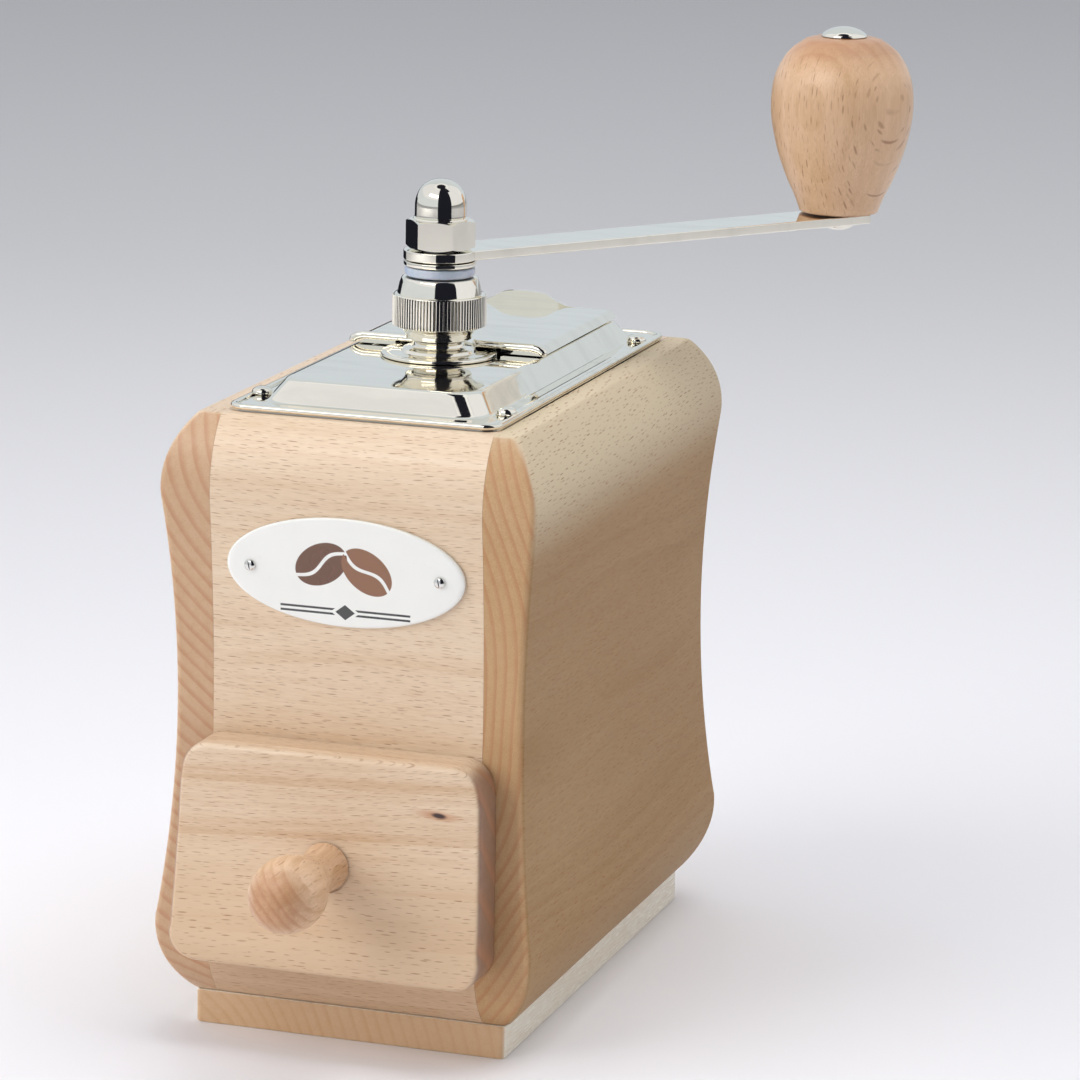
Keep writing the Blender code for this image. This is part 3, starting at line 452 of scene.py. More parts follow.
def lathe(profile, sides=96, centre=(0.0, 0.0)):
    """Turns (radius, height) points about an upright axis.

    An outline that starts and ends at radius 0 closes on the axis, and any other one is a loop.
    """
    bm = bmesh.new()
    rows = []
    for radius, height in profile:
        count = sides if radius else 1
        row = []
        for i in range(count):
            angle = 2 * math.pi * i / sides
            x = centre[0] + radius * math.cos(angle)
            y = centre[1] + radius * math.sin(angle)
            row.append(bm.verts.new((x, y, height)))
        rows.append(row)
    pairs = list(zip(rows, rows[1:]))
    if profile[0][0] and profile[-1][0]:
        pairs.append((rows[-1], rows[0]))
    for low, high in pairs:
        for i in range(sides):
            j = (i + 1) % sides
            corners = (low[i % len(low)], low[j % len(low)], high[j % len(high)], high[i % len(high)])
            corners = list(dict.fromkeys(corners))
            if len(corners) > 2:
                bm.faces.new(corners)
    return bm


def rod(radius, low, high, sides, centre=(0.0, 0.0)):
    """A plain upright rod, as a tool that cuts a round hole."""
    return lathe([(0, low), (radius, low), (radius, high), (0, high)], sides, centre)


def prism(outline, low, high, axis="Z"):
    """Extrudes an outline of (a, b) points along an axis: X takes (y, z), Y takes (x, z), Z takes (x, y)."""
    place = {
        "X": lambda a, b, c: (c, a, b),
        "Y": lambda a, b, c: (a, c, b),
        "Z": lambda a, b, c: (a, b, c),
    }[axis]
    return loft([[place(a, b, c) for a, b in outline] for c in (low, high)])


def rounded(half_x, half_y, radius, z=None, steps=8, y_mid=0.0):
    """A rectangle with round corners, anticlockwise."""
    points = []
    for quarter, (sx, sy) in enumerate(((1, -1), (1, 1), (-1, 1), (-1, -1))):
        cx, cy = sx * (half_x - radius), sy * (half_y - radius) + y_mid
        for i in range(steps + 1):
            angle = math.pi / 2 * (quarter - 1 + i / steps)
            points.append((cx + radius * math.cos(angle), cy + radius * math.sin(angle)))
    return points if z is None else [(x, y, z) for x, y in points]


def arc(cx, cy, radius, start, end, steps):
    """Points of an arc, with its angles in degrees."""
    angles = [math.radians(start + (end - start) * i / steps) for i in range(steps + 1)]
    return [(cx + radius * math.cos(a), cy + radius * math.sin(a)) for a in angles]


def curve_through(points, steps):
    """A smooth run of points through a few given ones (Catmull-Rom)."""

    def between(p, q, r, s, t):
        square, cube = 2 * p - 5 * q + 4 * r - s, 3 * q - p - 3 * r + s
        return 0.5 * (2 * q + (r - p) * t + square * t**2 + cube * t**3)

    ends = [points[0], *points, points[-1]]
    run = []
    for four in zip(ends, ends[1:], ends[2:], ends[3:]):
        run += [tuple(between(*values, i / steps) for values in zip(*four)) for i in range(steps)]
    return [*run, points[-1]]


def turn_bm(bm, axis, degrees):
    """Turns a bmesh about one of the main axes."""
    turn = Matrix.Rotation(math.radians(degrees), 3, axis)
    bmesh.ops.rotate(bm, cent=(0, 0, 0), matrix=turn, verts=bm.verts)


def as_object(name, bm):
    """A bmesh in millimetres as an object in metres, with its doubles merged and its faces outwards."""
    bmesh.ops.remove_doubles(bm, verts=bm.verts, dist=1e-4)
    bmesh.ops.recalc_face_normals(bm, faces=bm.faces)
    bmesh.ops.scale(bm, vec=(MM, MM, MM), verts=bm.verts)
    mesh = bpy.data.meshes.new(name)
    bm.to_mesh(mesh)
    bm.free()
    made = bpy.data.objects.new(name, mesh)
    bpy.context.scene.collection.objects.link(made)
    return made


def settle(obj):
    """Turns an object's modifiers into plain mesh."""
    bpy.context.view_layer.update()
    graph = bpy.context.evaluated_depsgraph_get()
    mesh = bpy.data.meshes.new_from_object(obj.evaluated_get(graph), depsgraph=graph)
    obj.modifiers.clear()
    old, obj.data = obj.data, mesh
    bpy.data.meshes.remove(old)


def combine(obj, bm, operation):
    """Cuts a bmesh out of an object, joins it on, or keeps what they share."""
    tool = as_object("tool", bm)
    boolean = obj.modifiers.new(operation, "BOOLEAN")
    boolean.operation = operation
    boolean.solver = "EXACT"
    boolean.object = tool
    settle(obj)
    bpy.data.objects.remove(tool)


def piece(obj, finish, body, nodes, ease=0.0, sharp=32.0, ease_from=30.0):
    """Finishes an object: eased edges, clean shading, its material, its body and the nodes it stands for."""
    if ease:
        bevel = obj.modifiers.new("ease", "BEVEL")
        bevel.width = ease * MM
        bevel.segments = 3
        bevel.limit_method = "ANGLE"
        bevel.angle_limit = math.radians(ease_from)
        settle(obj)
    obj.data.shade_smooth()
    obj.data.set_sharp_from_angle(angle=math.radians(sharp))
    weigh = obj.modifiers.new("even", "WEIGHTED_NORMAL")
    weigh.keep_sharp = True
    settle(obj)
    obj.data.materials.clear()
    obj.data.materials.append(finish)
    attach(obj, body)
    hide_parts(*nodes)
    return obj


def swell(z):
    """How far the box stands out past its top edge at a height."""
    if z > TOP_ARC_FROM:
        return TOP_BULGE_OUT - TOP_ARC + math.sqrt(TOP_ARC**2 - (z - TOP_BULGE_Z) ** 2)
    if z < LOW_ARC_TO:
        return LOW_BULGE_OUT - LOW_ARC + math.sqrt(LOW_ARC**2 - (z - LOW_BULGE_Z) ** 2)
    return WAIST_OUT + (z - WAIST_Z) ** 2 / WAIST_CURVE


def block(low, high):
    """The whole waisted block between two heights, with eased edges."""
    ease = EDGE_EASE
    count = round((high - low) / 1.5)
    levels = [(low, ease), (low + 0.13, 0.13), (low + ease, 0.0)]
    levels += [(low + (high - low) * i / count, 0.0) for i in range(1, count)]
    levels += [(high - ease, 0.0), (high - 0.13, 0.13), (high, ease)]
    loops = []
    for z, inset in levels:
        out = swell(z) - inset
        loops.append(rounded(TOP_HALF_X + out, TOP_HALF_Y + out, EDGE_ROUND, z, steps=5))
    return loft(loops)


def board(name, low, high, planes):
    """A board sawn out of the block. Each plane is (point, direction of the waste side)."""
    bm = block(low, high)
    for point, waste in planes:
        geometry = [*bm.verts, *bm.edges, *bm.faces]
        done = bmesh.ops.bisect_plane(
            bm, geom=geometry, plane_co=point, plane_no=waste, clear_outer=True, dist=1e-5
        )
        edges = [e for e in done["geom_cut"] if isinstance(e, bmesh.types.BMEdge)]
        bmesh.ops.edgenet_fill(bm, edges=edges)
    return as_object(name, bm)


# --- repeated pieces -----------------------------------------------------------------------------


class Recipe(Graph):
    """A geometry node tree with named inputs."""

    def __init__(self, name, inputs):
        tree = bpy.data.node_groups.new(name, "GeometryNodeTree")
        super().__init__(tree)
        for label, kind in inputs.items():
            tree.interface.new_socket(label, in_out="INPUT", socket_type=f"NodeSocket{kind}")
        tree.interface.new_socket("Geometry", in_out="OUTPUT", socket_type="NodeSocketGeometry")
        self.ask = self.node("NodeGroupInput", {}, {})

    def sweep(self, route, radius, sides):
        """A round bar along a curve, whose radius is one of the recipe's inputs."""
        circle = {"Resolution": sides, "Radius": self.ask.out(radius)}
        section = self.node("GeometryNodeCurvePrimitiveCircle", {}, circle)
        sockets = {"Curve": route, "Profile Curve": section, "Fill Caps": True}
        return self.node("GeometryNodeCurveToMesh", {}, sockets)

    def result(self, geometry, finish):
        """Ends the tree with plain mesh in its finish."""
        plain = self.node("GeometryNodeRealizeInstances", {}, {"Geometry": geometry})
        painted = self.node("GeometryNodeSetMaterial", {}, {"Geometry": plain, "Material": finish})
        self.node("NodeGroupOutput", {}, {"Geometry": painted})
        return self

    def make(self, name, values):
        """An object with the recipe's plain mesh, at these values."""
        obj = bpy.data.objects.new(name, bpy.data.meshes.new(name))
        modifier = obj.modifiers.new("recipe", "NODES")
        modifier.node_group = self.tree
        for item in self.tree.interface.items_tree:
            if item.in_out == "INPUT":
                modifier[item.identifier] = values[item.name]
        bpy.context.scene.collection.objects.link(obj)
        settle(obj)
        return obj


def rib_recipe():
    """Upright ribs with tapered ends, in a ring round an axis."""
    inputs = {"Count": "Int", "Ring Radius": "Float", "Low": "Float", "High": "Float", "Rib Radius": "Float"}
    r = Recipe("ribs_in_a_ring", inputs | {"Centre": "Vector", "Material": "Material"})
    start = r.node("ShaderNodeCombineXYZ", {}, {"Z": r.ask.out("Low")})
    end = r.node("ShaderNodeCombineXYZ", {}, {"Z": r.ask.out("High")})
    line = r.node("GeometryNodeCurvePrimitiveLine", {}, {"Start": start, "End": end})
    line = r.node("GeometryNodeResampleCurve", {}, {"Curve": line, "Count": 9})
    along = r.node("GeometryNodeSplineParameter", {}, {})
    slim = (1.0 - abs(along * 2.0 - 1.0) ** 6.0) * 0.9 + 0.1
    line = r.node("GeometryNodeSetCurveRadius", {}, {"Curve": line, "Radius": slim})
    rib = r.sweep(line, "Rib Radius", 8)
    sockets = {"Vertices": r.ask.out("Count"), "Radius": r.ask.out("Ring Radius")}
    ring = r.node("GeometryNodeMeshCircle", {}, sockets)
    ring = r.node("GeometryNodeTransform", {}, {"Geometry": ring, "Translation": r.ask.out("Centre")})
    copies = r.node("GeometryNodeInstanceOnPoints", {}, {"Points": ring, "Instance": rib})
    return r.result(copies, r.ask.out("Material"))


def row_recipe():
    """Copies of one piece in rows and columns about a centre."""
    inputs = {"Piece": "Object", "Columns": "Int", "Rows": "Int"}
    inputs |= {"Column Step": "Float", "Row Step": "Float"}
    r = Recipe("rows_of_a_piece", inputs | {"Centre": "Vector", "Material": "Material"})
    lines = []
    for count, step, axis in (("Columns", "Column Step", "X"), ("Rows", "Row Step", "Y")):
        gap = r.ask.out(step)
        start = r.node("ShaderNodeCombineXYZ", {}, {axis: (r.ask.out(count) - 1.0) * gap * -0.5})
        offset = r.node("ShaderNodeCombineXYZ", {}, {axis: gap})
        sockets = {"Count": r.ask.out(count), "Start Location": start, "Offset": offset}
        lines.append(r.node("GeometryNodeMeshLine", {}, sockets))
    grid = r.node("GeometryNodeInstanceOnPoints", {}, {"Points": lines[0], "Instance": lines[1]})
    grid = r.node("GeometryNodeRealizeInstances", {}, {"Geometry": grid})
    grid = r.node("GeometryNodeTransform", {}, {"Geometry": grid, "Translation": r.ask.out("Centre")})
    shape = r.node("GeometryNodeObjectInfo", {}, {"Object": r.ask.out("Piece")}, "Geometry")
    copies = r.node("GeometryNodeInstanceOnPoints", {}, {"Points": grid, "Instance": shape})
    return r.result(copies, r.ask.out("Material"))


def coil_recipe():
    """A round wire wound into a spring."""
    inputs = {"Turns": "Float", "Radius": "Float", "Height": "Float", "Wire Radius": "Float"}
    r = Recipe("coil_of_wire", inputs | {"Centre": "Vector", "Material": "Material"})
    sockets = {"Resolution": 40, "Rotations": r.ask.out("Turns"), "Height": r.ask.out("Height")}
    sockets |= {"Start Radius": r.ask.out("Radius"), "End Radius": r.ask.out("Radius")}
    spiral = r.node("GeometryNodeCurveSpiral", {}, sockets)
    wire = r.sweep(spiral, "Wire Radius", 10)
    wire = r.node("GeometryNodeTransform", {}, {"Geometry": wire, "Translation": r.ask.out("Centre")})
    return r.result(wire, r.ask.out("Material"))


def copies_of(name, bm, recipe, grid, centre, finish):
    """Places copies of a bmesh by (columns, rows, column step, row step) about a centre."""
    shape = as_object("shape", bm)
    columns, rows, column_step, row_step = grid
    values = {"Piece": shape, "Columns": columns, "Rows": rows, "Column Step": column_step * MM}
    values |= {"Row Step": row_step * MM, "Centre": [c * MM for c in centre], "Material": finish}
    made = recipe.make(name, values)
    bpy.data.objects.remove(shape)
    return made


# --- box -----------------------------------------------------------------------------------------


def make_boards():
    """The two side boards, whose end grain shows in front, and the boards between them."""
    left = beech("beech_left_side", ALONG_Y_LEFT, (0.0, 60.0, -190.0), 150.0, ring=3.1, end_lines=0.5)
    # The right side board's dark wood is painted shade on its shaded side face. Its band is a painted
    # highlight on the upper bulge, and its light end tone brings the front end grain back to the left
    # board's tone.
    right = beech("beech_right_side", ALONG_Y_RIGHT, (31.0, 60.0, -92.0), 105.0, ring=2.6, figure=0.5,
                  pale=(0.43, 0.275, 0.14), deep=(0.36, 0.21, 0.09), end_grain_tone_and_shade=(1.38, 1.41, 1.56),
                  sheen=0.05, band=(118.0, 140.0, (0.84, 0.73, 0.54)), fleck_ink=0.8)
    for word, side, finish in (("left", -1, left), ("right", 1, right)):
        shape = board(f"{word}_side_panel", BOARD_LOW, BODY_TOP, [((side * SEAM_X, 0, 0), (-side, 0, 0))])
        piece(shape, finish, "box", [f"{word}_side_board"])
    inner = SEAM_X - SEAM_GAP
    sides = [((inner, 0, 0), (1, 0, 0)), ((-inner, 0, 0), (-1, 0, 0))]
    front = sides + [((0, -INNER_Y, 0), (0, 1, 0))]
    finish = beech("beech_front", ALONG_X, (0.0, -4.0, 118.0), 74.0, ring=3.6, figure=0.8)
    low = heights("front_board")[0] - DRAWER_LAP
    piece(board("front_panel", low, BODY_TOP, front), finish, "box", ["front_board"])
    # The front rail is a darker copy of the front board's beech: painted shade for the downward-facing lower
    # bulge.
    finish = beech("beech_front_rail", ALONG_X, (53.0, -4.0, 60.0), 74.0, ring=3.6,
                   pale=(0.70, 0.50, 0.33), deep=(0.60, 0.40, 0.25))
    high = heights("front_rail")[1]
    piece(board("front_sill", BOARD_LOW, high, front), finish, "box", ["front_rail"])
    finish = beech("beech_back", BEHIND_X, (17.0, 0.0, -90.0), 74.0, ring=4.4)
    back = board("back_panel", BOARD_LOW, BODY_TOP, sides + [((0, INNER_Y, 0), (0, -1, 0))])
    piece(back, finish, "box", ["back_board"])
    make_plinth()


def make_plinth():
    """The base board, set in from the box, in pale wood with calm figure. Its paleness is partly painted
    light, the floor's bright bounce on its right side.
    """
    low, high = span("base_board")
    # Very pale base colour: the wood's own pale tone plus painted light for the bright right side; the front
    # shows the darker end-grain tone.
    finish = beech("beech_plinth", ALONG_Y_RIGHT, (12.0, 90.0, 40.0), 100.0, ring=2.8,
                   pale=(0.97, 0.93, 0.82), deep=(0.92, 0.84, 0.70), gloss=0.25, sheen=0.15,
                   end_grain_tone_and_shade=(0.70, 0.50, 0.35), end_lines=0.14, fleck_ink=0.2)
    outline = rounded(high.x, high.y, PLINTH_CORNER, steps=6)
    shape = as_object("plinth", prism(outline, low.z, BOARD_LOW - SEAM_GAP))
    piece(shape, finish, "box", ["base_board"], ease=0.5)


# --- label ---------------------------------------------------------------------------------------


def make_label(rows):
    """The oval plate: it lies on the front board's curve and has a soft edge."""

    def ring(scale, out):
        points = []
        for i in range(LABEL_POINTS):
            angle = 2 * math.pi * i / LABEL_POINTS
            z = LABEL_Z + scale * LABEL_HALF_Z * math.sin(angle)
            points.append((scale * LABEL_HALF_X * math.cos(angle), -(TOP_HALF_Y + swell(z) + out), z))
        return points

    rings = [(0.01, 0.1), (0.5, 0.1), (0.996, 0.1), (1.0, 0.2), (1.0, 0.75)]
    rings += [(0.995, 1.0), (0.985, 1.15), (0.97, 1.24), (0.95, LABEL_FACE)]
    rings += [(0.95 * (1 - i / 12), LABEL_FACE) for i in range(1, 12)] + [(0.01, LABEL_FACE)]
    plate = as_object("label_oval", loft([ring(*r) for r in rings]))
    piece(plate, enamel("label_enamel"), "box", ["label_plate"])
    make_label_pins(rows)


def make_label_pins(rows):
    """Two small pins with domed and slotted heads, their slots a little off upright."""
    face = TOP_HALF_Y + swell(LABEL_Z) + LABEL_FACE
    dome = [(0, face - 3), (0.7, face - 3), (0.7, face), (1.4, face), (1.4, face + 0.25)]
    dome += [(1.36, face + 0.45), (1.2, face + 0.68), (0.85, face + 0.9)]
    dome += [(0.4, face + 1.02), (0, face + 1.05)]
    head = as_object("pin", lathe(dome, 40))
    half = PIN_SLOT_HALF
    slot = prism([(-2, -half), (2, -half), (2, half), (-2, half)], face + 0.7, face + 2)
    combine(head, slot, "DIFFERENCE")
    bm = bmesh.new()
    bm.from_mesh(head.data)
    bpy.data.objects.remove(head)
    bmesh.ops.scale(bm, vec=(1 / MM,) * 3, verts=bm.verts)
    turn_bm(bm, "X", 90)
    turn_bm(bm, "Y", 78)
    finish = chrome("pin_nickel", tint=(0.78, 0.77, 0.74), rough=0.12)
    grid = (2, 1, 2 * LABEL_PIN_X, 1.0)
    pins = copies_of("label_pins", bm, rows, grid, (0, 0, LABEL_Z), finish)
    piece(pins, finish, "box", ["label_pin_left", "label_pin_right"])


# --- top -----------------------------------------------------------------------------------------


def make_top(rows, bright):
    """The pressed top: a rolled rim, a flat margin, and a stage raised on soft folds."""
    seat = BODY_TOP + 0.12
    rim = arc(-RIM_ROUND, 0, RIM_ROUND, -60, 180, 14)
    edge = [(-0.35, seat)]
    edge += [(x, PLATE_RIM - RIM_ROUND + z) for x, z in rim if z > -0.7]
    edge += [(-1.62, PLATE_FLAT - 0.22), (-1.9, PLATE_FLAT - 0.12), (-2.4, PLATE_FLAT - 0.02)]
    edge += [(-3.0, PLATE_FLAT)]
    outer = [(PLATE_HALF_X + out, PLATE_HALF_Y + out, z) for out, z in edge]
    slope = [(FOOT_X + 0.9, PLATE_FLAT), (FOOT_X + 0.45, PLATE_FLAT + 0.06)]
    slope += [(FOOT_X + 0.1, PLATE_FLAT + 0.28), (FOOT_X - 0.15, PLATE_FLAT + 0.6)]
    slope += [(STAGE_X + 0.75, STAGE_Z - 0.95), (STAGE_X + 0.5, STAGE_Z - 0.55)]
    slope += [(STAGE_X + 0.1, STAGE_Z - 0.22), (STAGE_X - 0.4, STAGE_Z - 0.05), (STAGE_X - 1.0, STAGE_Z)]
    outer += [(x, x + STAGE_Y - STAGE_X, z) for x, z in slope]
    under = [(x - 0.35, y - 0.35, z - SHEET) for x, y, z in reversed(outer[-4:])]
    under += [(FOOT_X - 0.9, FOOT_Y - 0.9, PLATE_FLAT), (FOOT_X - 1.2, FOOT_Y - 1.2, seat)]
    loops = []
    for x, y, z in outer + under:
        corner = PLATE_CORNER + STAGE_CORNER_GAIN * min(1.0, (PLATE_HALF_X - 2.4 - x) / 3.0)
        loops.append(rounded(x, y, max(corner, PLATE_CORNER - 0.4), z, steps=12))
    shell = skin_shell(loops, len(outer))
    top = as_object("pressed_top", shell)
    combine(top, rod(NECK_HOLE_R, 145, 165, 64, (0, AXIS_Y)), "DIFFERENCE")
    middle, half = (FILL_NEAR + FILL_FAR) / 2, (FILL_FAR - FILL_NEAR) / 2
    opening = prism(rounded(FILL_HALF_X, half, FILL_CORNER, y_mid=middle), 150, 160)
    combine(top, opening, "DIFFERENCE")
    piece(top, bright, "box", ["top_plate"], sharp=38.0)
    make_plate_screws(rows, bright)


def make_plate_screws(rows, bright):
    """Four dome-head screws at the corners of the plate."""
    head, r = PLATE_FLAT + 0.05, SCREW_HEAD_R
    shoulder, rise = head + 0.5, 1.45
    dome = [(0, head - 8), (1.3, head - 7), (1.3, head), (r - 0.15, head), (r, head + 0.15), (r, shoulder)]
    for degrees in range(10, 90, 10):
        a = math.radians(degrees)
        dome.append((r * math.cos(a), shoulder + rise * math.sin(a)))
    dome += [(0, shoulder + rise)]
    grid = (2, 2, 2 * SCREW_X, 2 * SCREW_Y)
    screws = copies_of("plate_screws", lathe(dome, 32), rows, grid, (0, 0, 0), bright)
    piece(screws, bright, "box", [f"plate_screw_{i}" for i in (1, 2, 3, 4)])


def skin_shell(loops, top_count):
    """Skins loops up the outside and down the inside, closes both decks and joins the two feet."""
    bm = bmesh.new()
    rows = [[bm.verts.new(point) for point in loop] for loop in loops]
    skin(bm, zip(rows[:top_count], rows[1:top_count]))
    skin(bm, zip(rows[top_count:], rows[top_count + 1:]))
    skin(bm, [(rows[-1], rows[0])])
    bm.faces.new(rows[top_count - 1])
    bm.faces.new(rows[top_count][::-1])
    return bm


def make_neck(bright):
    """The threaded neck with its turned flange, as turned rings."""
    low, top = STAGE_Z + 0.08, STAGE_Z + 1.0
    flange = arc(FLANGE_R - 0.45, top - 0.45, 0.45, -70, 90, 8)
    shape = [(BORE_R, low - 5), (7.8, low - 5), (7.8, low), (FLANGE_R - 0.5, low), *flange]
    shape += [(12.6, top), (12.3, top - 0.18), (11.9, top - 0.18), (11.5, top), (9.3, top)]
    shape += [(9.1, top + 0.2), (8.9, top + 0.7), (8.5, top + 0.95), (7.2, top + 1.05), (6.6, top + 1.2)]
    shape += [(NECK_R, top + 1.8)]
    z = top + 2.0
    while z < NECK_TOP - 0.9:
        shape += [(NECK_R, z), (NECK_R - THREAD_DEPTH, z + THREAD_PITCH / 2)]
        z += THREAD_PITCH
    shape += [(NECK_R - 0.3, NECK_TOP), (BORE_R, NECK_TOP)]
    neck = as_object("neck", lathe(shape, 96, (0, AXIS_Y)))
    piece(neck, bright, "box", ["neck_bush"], sharp=50.0)


# --- grinding head -------------------------------------------------------------------------------


def make_adjuster(ribs, bright, milky):
    """The adjusting nut: two cones and a ring of fine ribs, with the bearing washer on top."""
    ring_r = RIB_OUTER - 0.26
    shape = [(6.6, NUT_LOW), (7.7, NUT_LOW), *arc(7.75, NUT_LOW + 0.35, 0.35, -90, 0, 4)]
    shape += [(8.15, NUT_LOW + 1.2), (9.2, RIB_LOW - 1.0), (9.7, RIB_LOW - 0.75), (10.6, RIB_LOW - 0.35)]
    shape += [(10.95, RIB_LOW - 0.15), (ring_r, RIB_LOW + 0.35), (ring_r, RIB_HIGH - 0.2)]
    shape += [(10.95, RIB_HIGH + 0.2), (10.6, RIB_HIGH + 0.35), (10.25, RIB_HIGH + 0.4)]
    shape += [(9.75, NUT_TOP - 1.6), (9.35, NUT_TOP - 0.5), (9.15, NUT_TOP - 0.18), (8.8, NUT_TOP)]
    shape += [(BORE_R, NUT_TOP), (BORE_R, 171.2), (6.6, 171.2)]
    nut = as_object("knurled_nut", lathe(shape, 120, (0, AXIS_Y)))
    piece(nut, bright, "adjuster", ["adjusting_nut"], sharp=45.0)
    values = {"Count": RIB_COUNT, "Ring Radius": (ring_r - 0.06) * MM, "Rib Radius": RIB_R * MM}
    values |= {"Low": RIB_LOW * MM, "High": RIB_HIGH * MM}
    values |= {"Centre": (0.0, AXIS_Y * MM, 0.0), "Material": bright}
    piece(ribs.make("knurl", values), bright, "adjuster", [])
    low, high, r = WASHER_LOW, WASHER_HIGH, WASHER_ROUND
    inner = WASHER_R - r
    shape = [(BORE_R, low), (inner, low), *arc(inner, low + r, r, -70, 0, 5)]
    shape += [*arc(inner, high - r, r, 0, 70, 5), (inner, high), (BORE_R, high)]
    washer = as_object("bearing_washer", lathe(shape, 96, (0, AXIS_Y)))
    piece(washer, milky, "lift", ["nylon_washer"], sharp=60.0)


def make_crank(bright):
    """The boss, the flat arm with its round hub, and the domed cap nut."""
    low, high, r = BOSS_LOW, BOSS_HIGH, BOSS_ROUND
    inner = BOSS_R - r
    shape = [(BORE_R, low), (inner, low), *arc(inner, low + r, r, -90, 0, 4)]
    shape += [*arc(inner, high - r, r, 0, 90, 4), (BORE_R, high)]
    boss = as_object("boss", lathe(shape, 96, (0, AXIS_Y)))
    piece(boss, bright, "crank", ["crank_washer"])

    half, r = ARM_WIDE / 2, ARM_ROUND
    start = math.degrees(math.asin(half / ARM_HUB_R))
    outline = arc(ARM_END - r, -half + r, r, -90, 0, 5)
    outline += arc(ARM_END - r, half - r, r, 0, 90, 5)
    outline += arc(0, 0, ARM_HUB_R, start, 360 - start, 72)
    arm = as_object("crank_bar", prism(outline, ARM_LOW, ARM_HIGH))
    combine(arm, rod(BORE_R, 170, 190, 48), "DIFFERENCE")
    combine(arm, rod(PIN_BORE_R, 170, 190, 32, (ARM_REACH, 0)), "DIFFERENCE")
    arm.data.transform(Matrix.Translation((0, AXIS_Y * MM, 0)) @ Matrix.Rotation(ARM_ANGLE, 4, "Z"))
    piece(arm, bright, "crank", ["crank_arm"], ease=0.4, ease_from=50.0, sharp=50.0)
    make_cap_nut(bright)


def make_cap_nut(bright):
    """A hexagon with chamfered corners, a turned collar and a tall round dome."""
    corner = CAP_FLATS / math.sqrt(3)
    turns = [math.radians(60 * i + CAP_TURN) for i in range(6)]
    hexagon = [(corner * math.cos(a), corner * math.sin(a)) for a in turns]
    nut = as_object("cap_nut", prism(hexagon, CAP_LOW, CAP_SHOULDER))
    flat, low, high = CAP_FLATS / 2, CAP_LOW, CAP_SHOULDER
    limit = [(0, low - 1), (flat - 0.9, low - 1), (flat - 0.1, low), (corner + 0.3, low + 0.75)]
    limit += [(corner + 0.3, high - 0.8), (flat - 0.1, high), (flat - 1.0, high + 0.4), (0, high + 0.4)]
    combine(nut, lathe(limit, 72), "INTERSECT")
    dome = [(0, low + 2), (6.0, low + 2), (6.75, high - 0.3), (6.75, high + 0.15), (6.6, high + 0.4)]
    dome += [(6.25, high + 0.55), (DOME_R + 0.05, high + 0.8), (DOME_R, high + 1.2)]
    for degrees in range(0, 90, 5):
        a = math.radians(degrees)
        across, up = math.cos(a) ** DOME_FULLNESS, math.sin(a)
        dome.append((DOME_R * across, CAP_TOP - DOME_RISE + DOME_RISE * up))
    dome.append((0, CAP_TOP))
    combine(nut, lathe(dome, 96), "UNION")
    combine(nut, rod(BORE_R, 175, CAP_BORE_TOP, 48), "DIFFERENCE")
    nut.data.transform(Matrix.Translation((0, AXIS_Y * MM, 0)))
    piece(nut, bright, "crank", ["acorn_nut"], sharp=28.0)


def make_handle(bright):
    """The turned knob, grain upright, and the domed spindle that it turns on."""
    shape = [(10.0, HANDLE_LOW + 0.2), (11.6, 187.3), (13.8, 192.0), (16.4, 199.5)]
    shape += [(18.05, 208.5), (17.4, 217.0), (14.2, 223.4), (9.8, 226.9)]
    low, high = HANDLE_LOW, HANDLE_TOP
    knob = [(PIN_BORE_R, low), (9.4, low), (9.8, low + 0.06), *curve_through(shape, 8)]
    knob += [(8.4, high - 0.25), (7.4, high - 0.05), (6.6, high), (PIN_BORE_R, high)]
    finish = beech("beech_handle", ALONG_Z, (0.0, 12.0, 46.0), 60.0, ring=4.6, pale=(0.78, 0.52, 0.33),
                   deep=(0.66, 0.41, 0.23), gloss=0.36)
    turned = as_object("crank_grip", lathe(knob, 128, (HANDLE_X, HANDLE_Y)))
    piece(turned, finish, "handle", ["handle_knob"], sharp=40.0)
    rivet, head = ARM_LOW - 0.3, high + 0.1
    pin = [(0, rivet - 1.6), (2.2, rivet - 1.55), (3.3, rivet - 1.1), (3.95, rivet - 0.5), (4.1, rivet)]
    pin += [(PIN_R, rivet), (PIN_R, head), (5.6, head), (5.75, head + 0.12), (5.7, head + 0.4)]
    pin += [(5.4, head + 0.8), (4.8, head + 1.25), (3.9, head + 1.75), (2.7, head + 2.2)]
    pin += [(1.4, head + 2.48), (0, head + 2.58)]
    spindle = as_object("grip_spindle", lathe(pin, 72, (HANDLE_X, HANDLE_Y)))
    piece(spindle, bright, "crank", ["handle_spindle"], sharp=45.0)


# --- lid -----------------------------------------------------------------------------------------


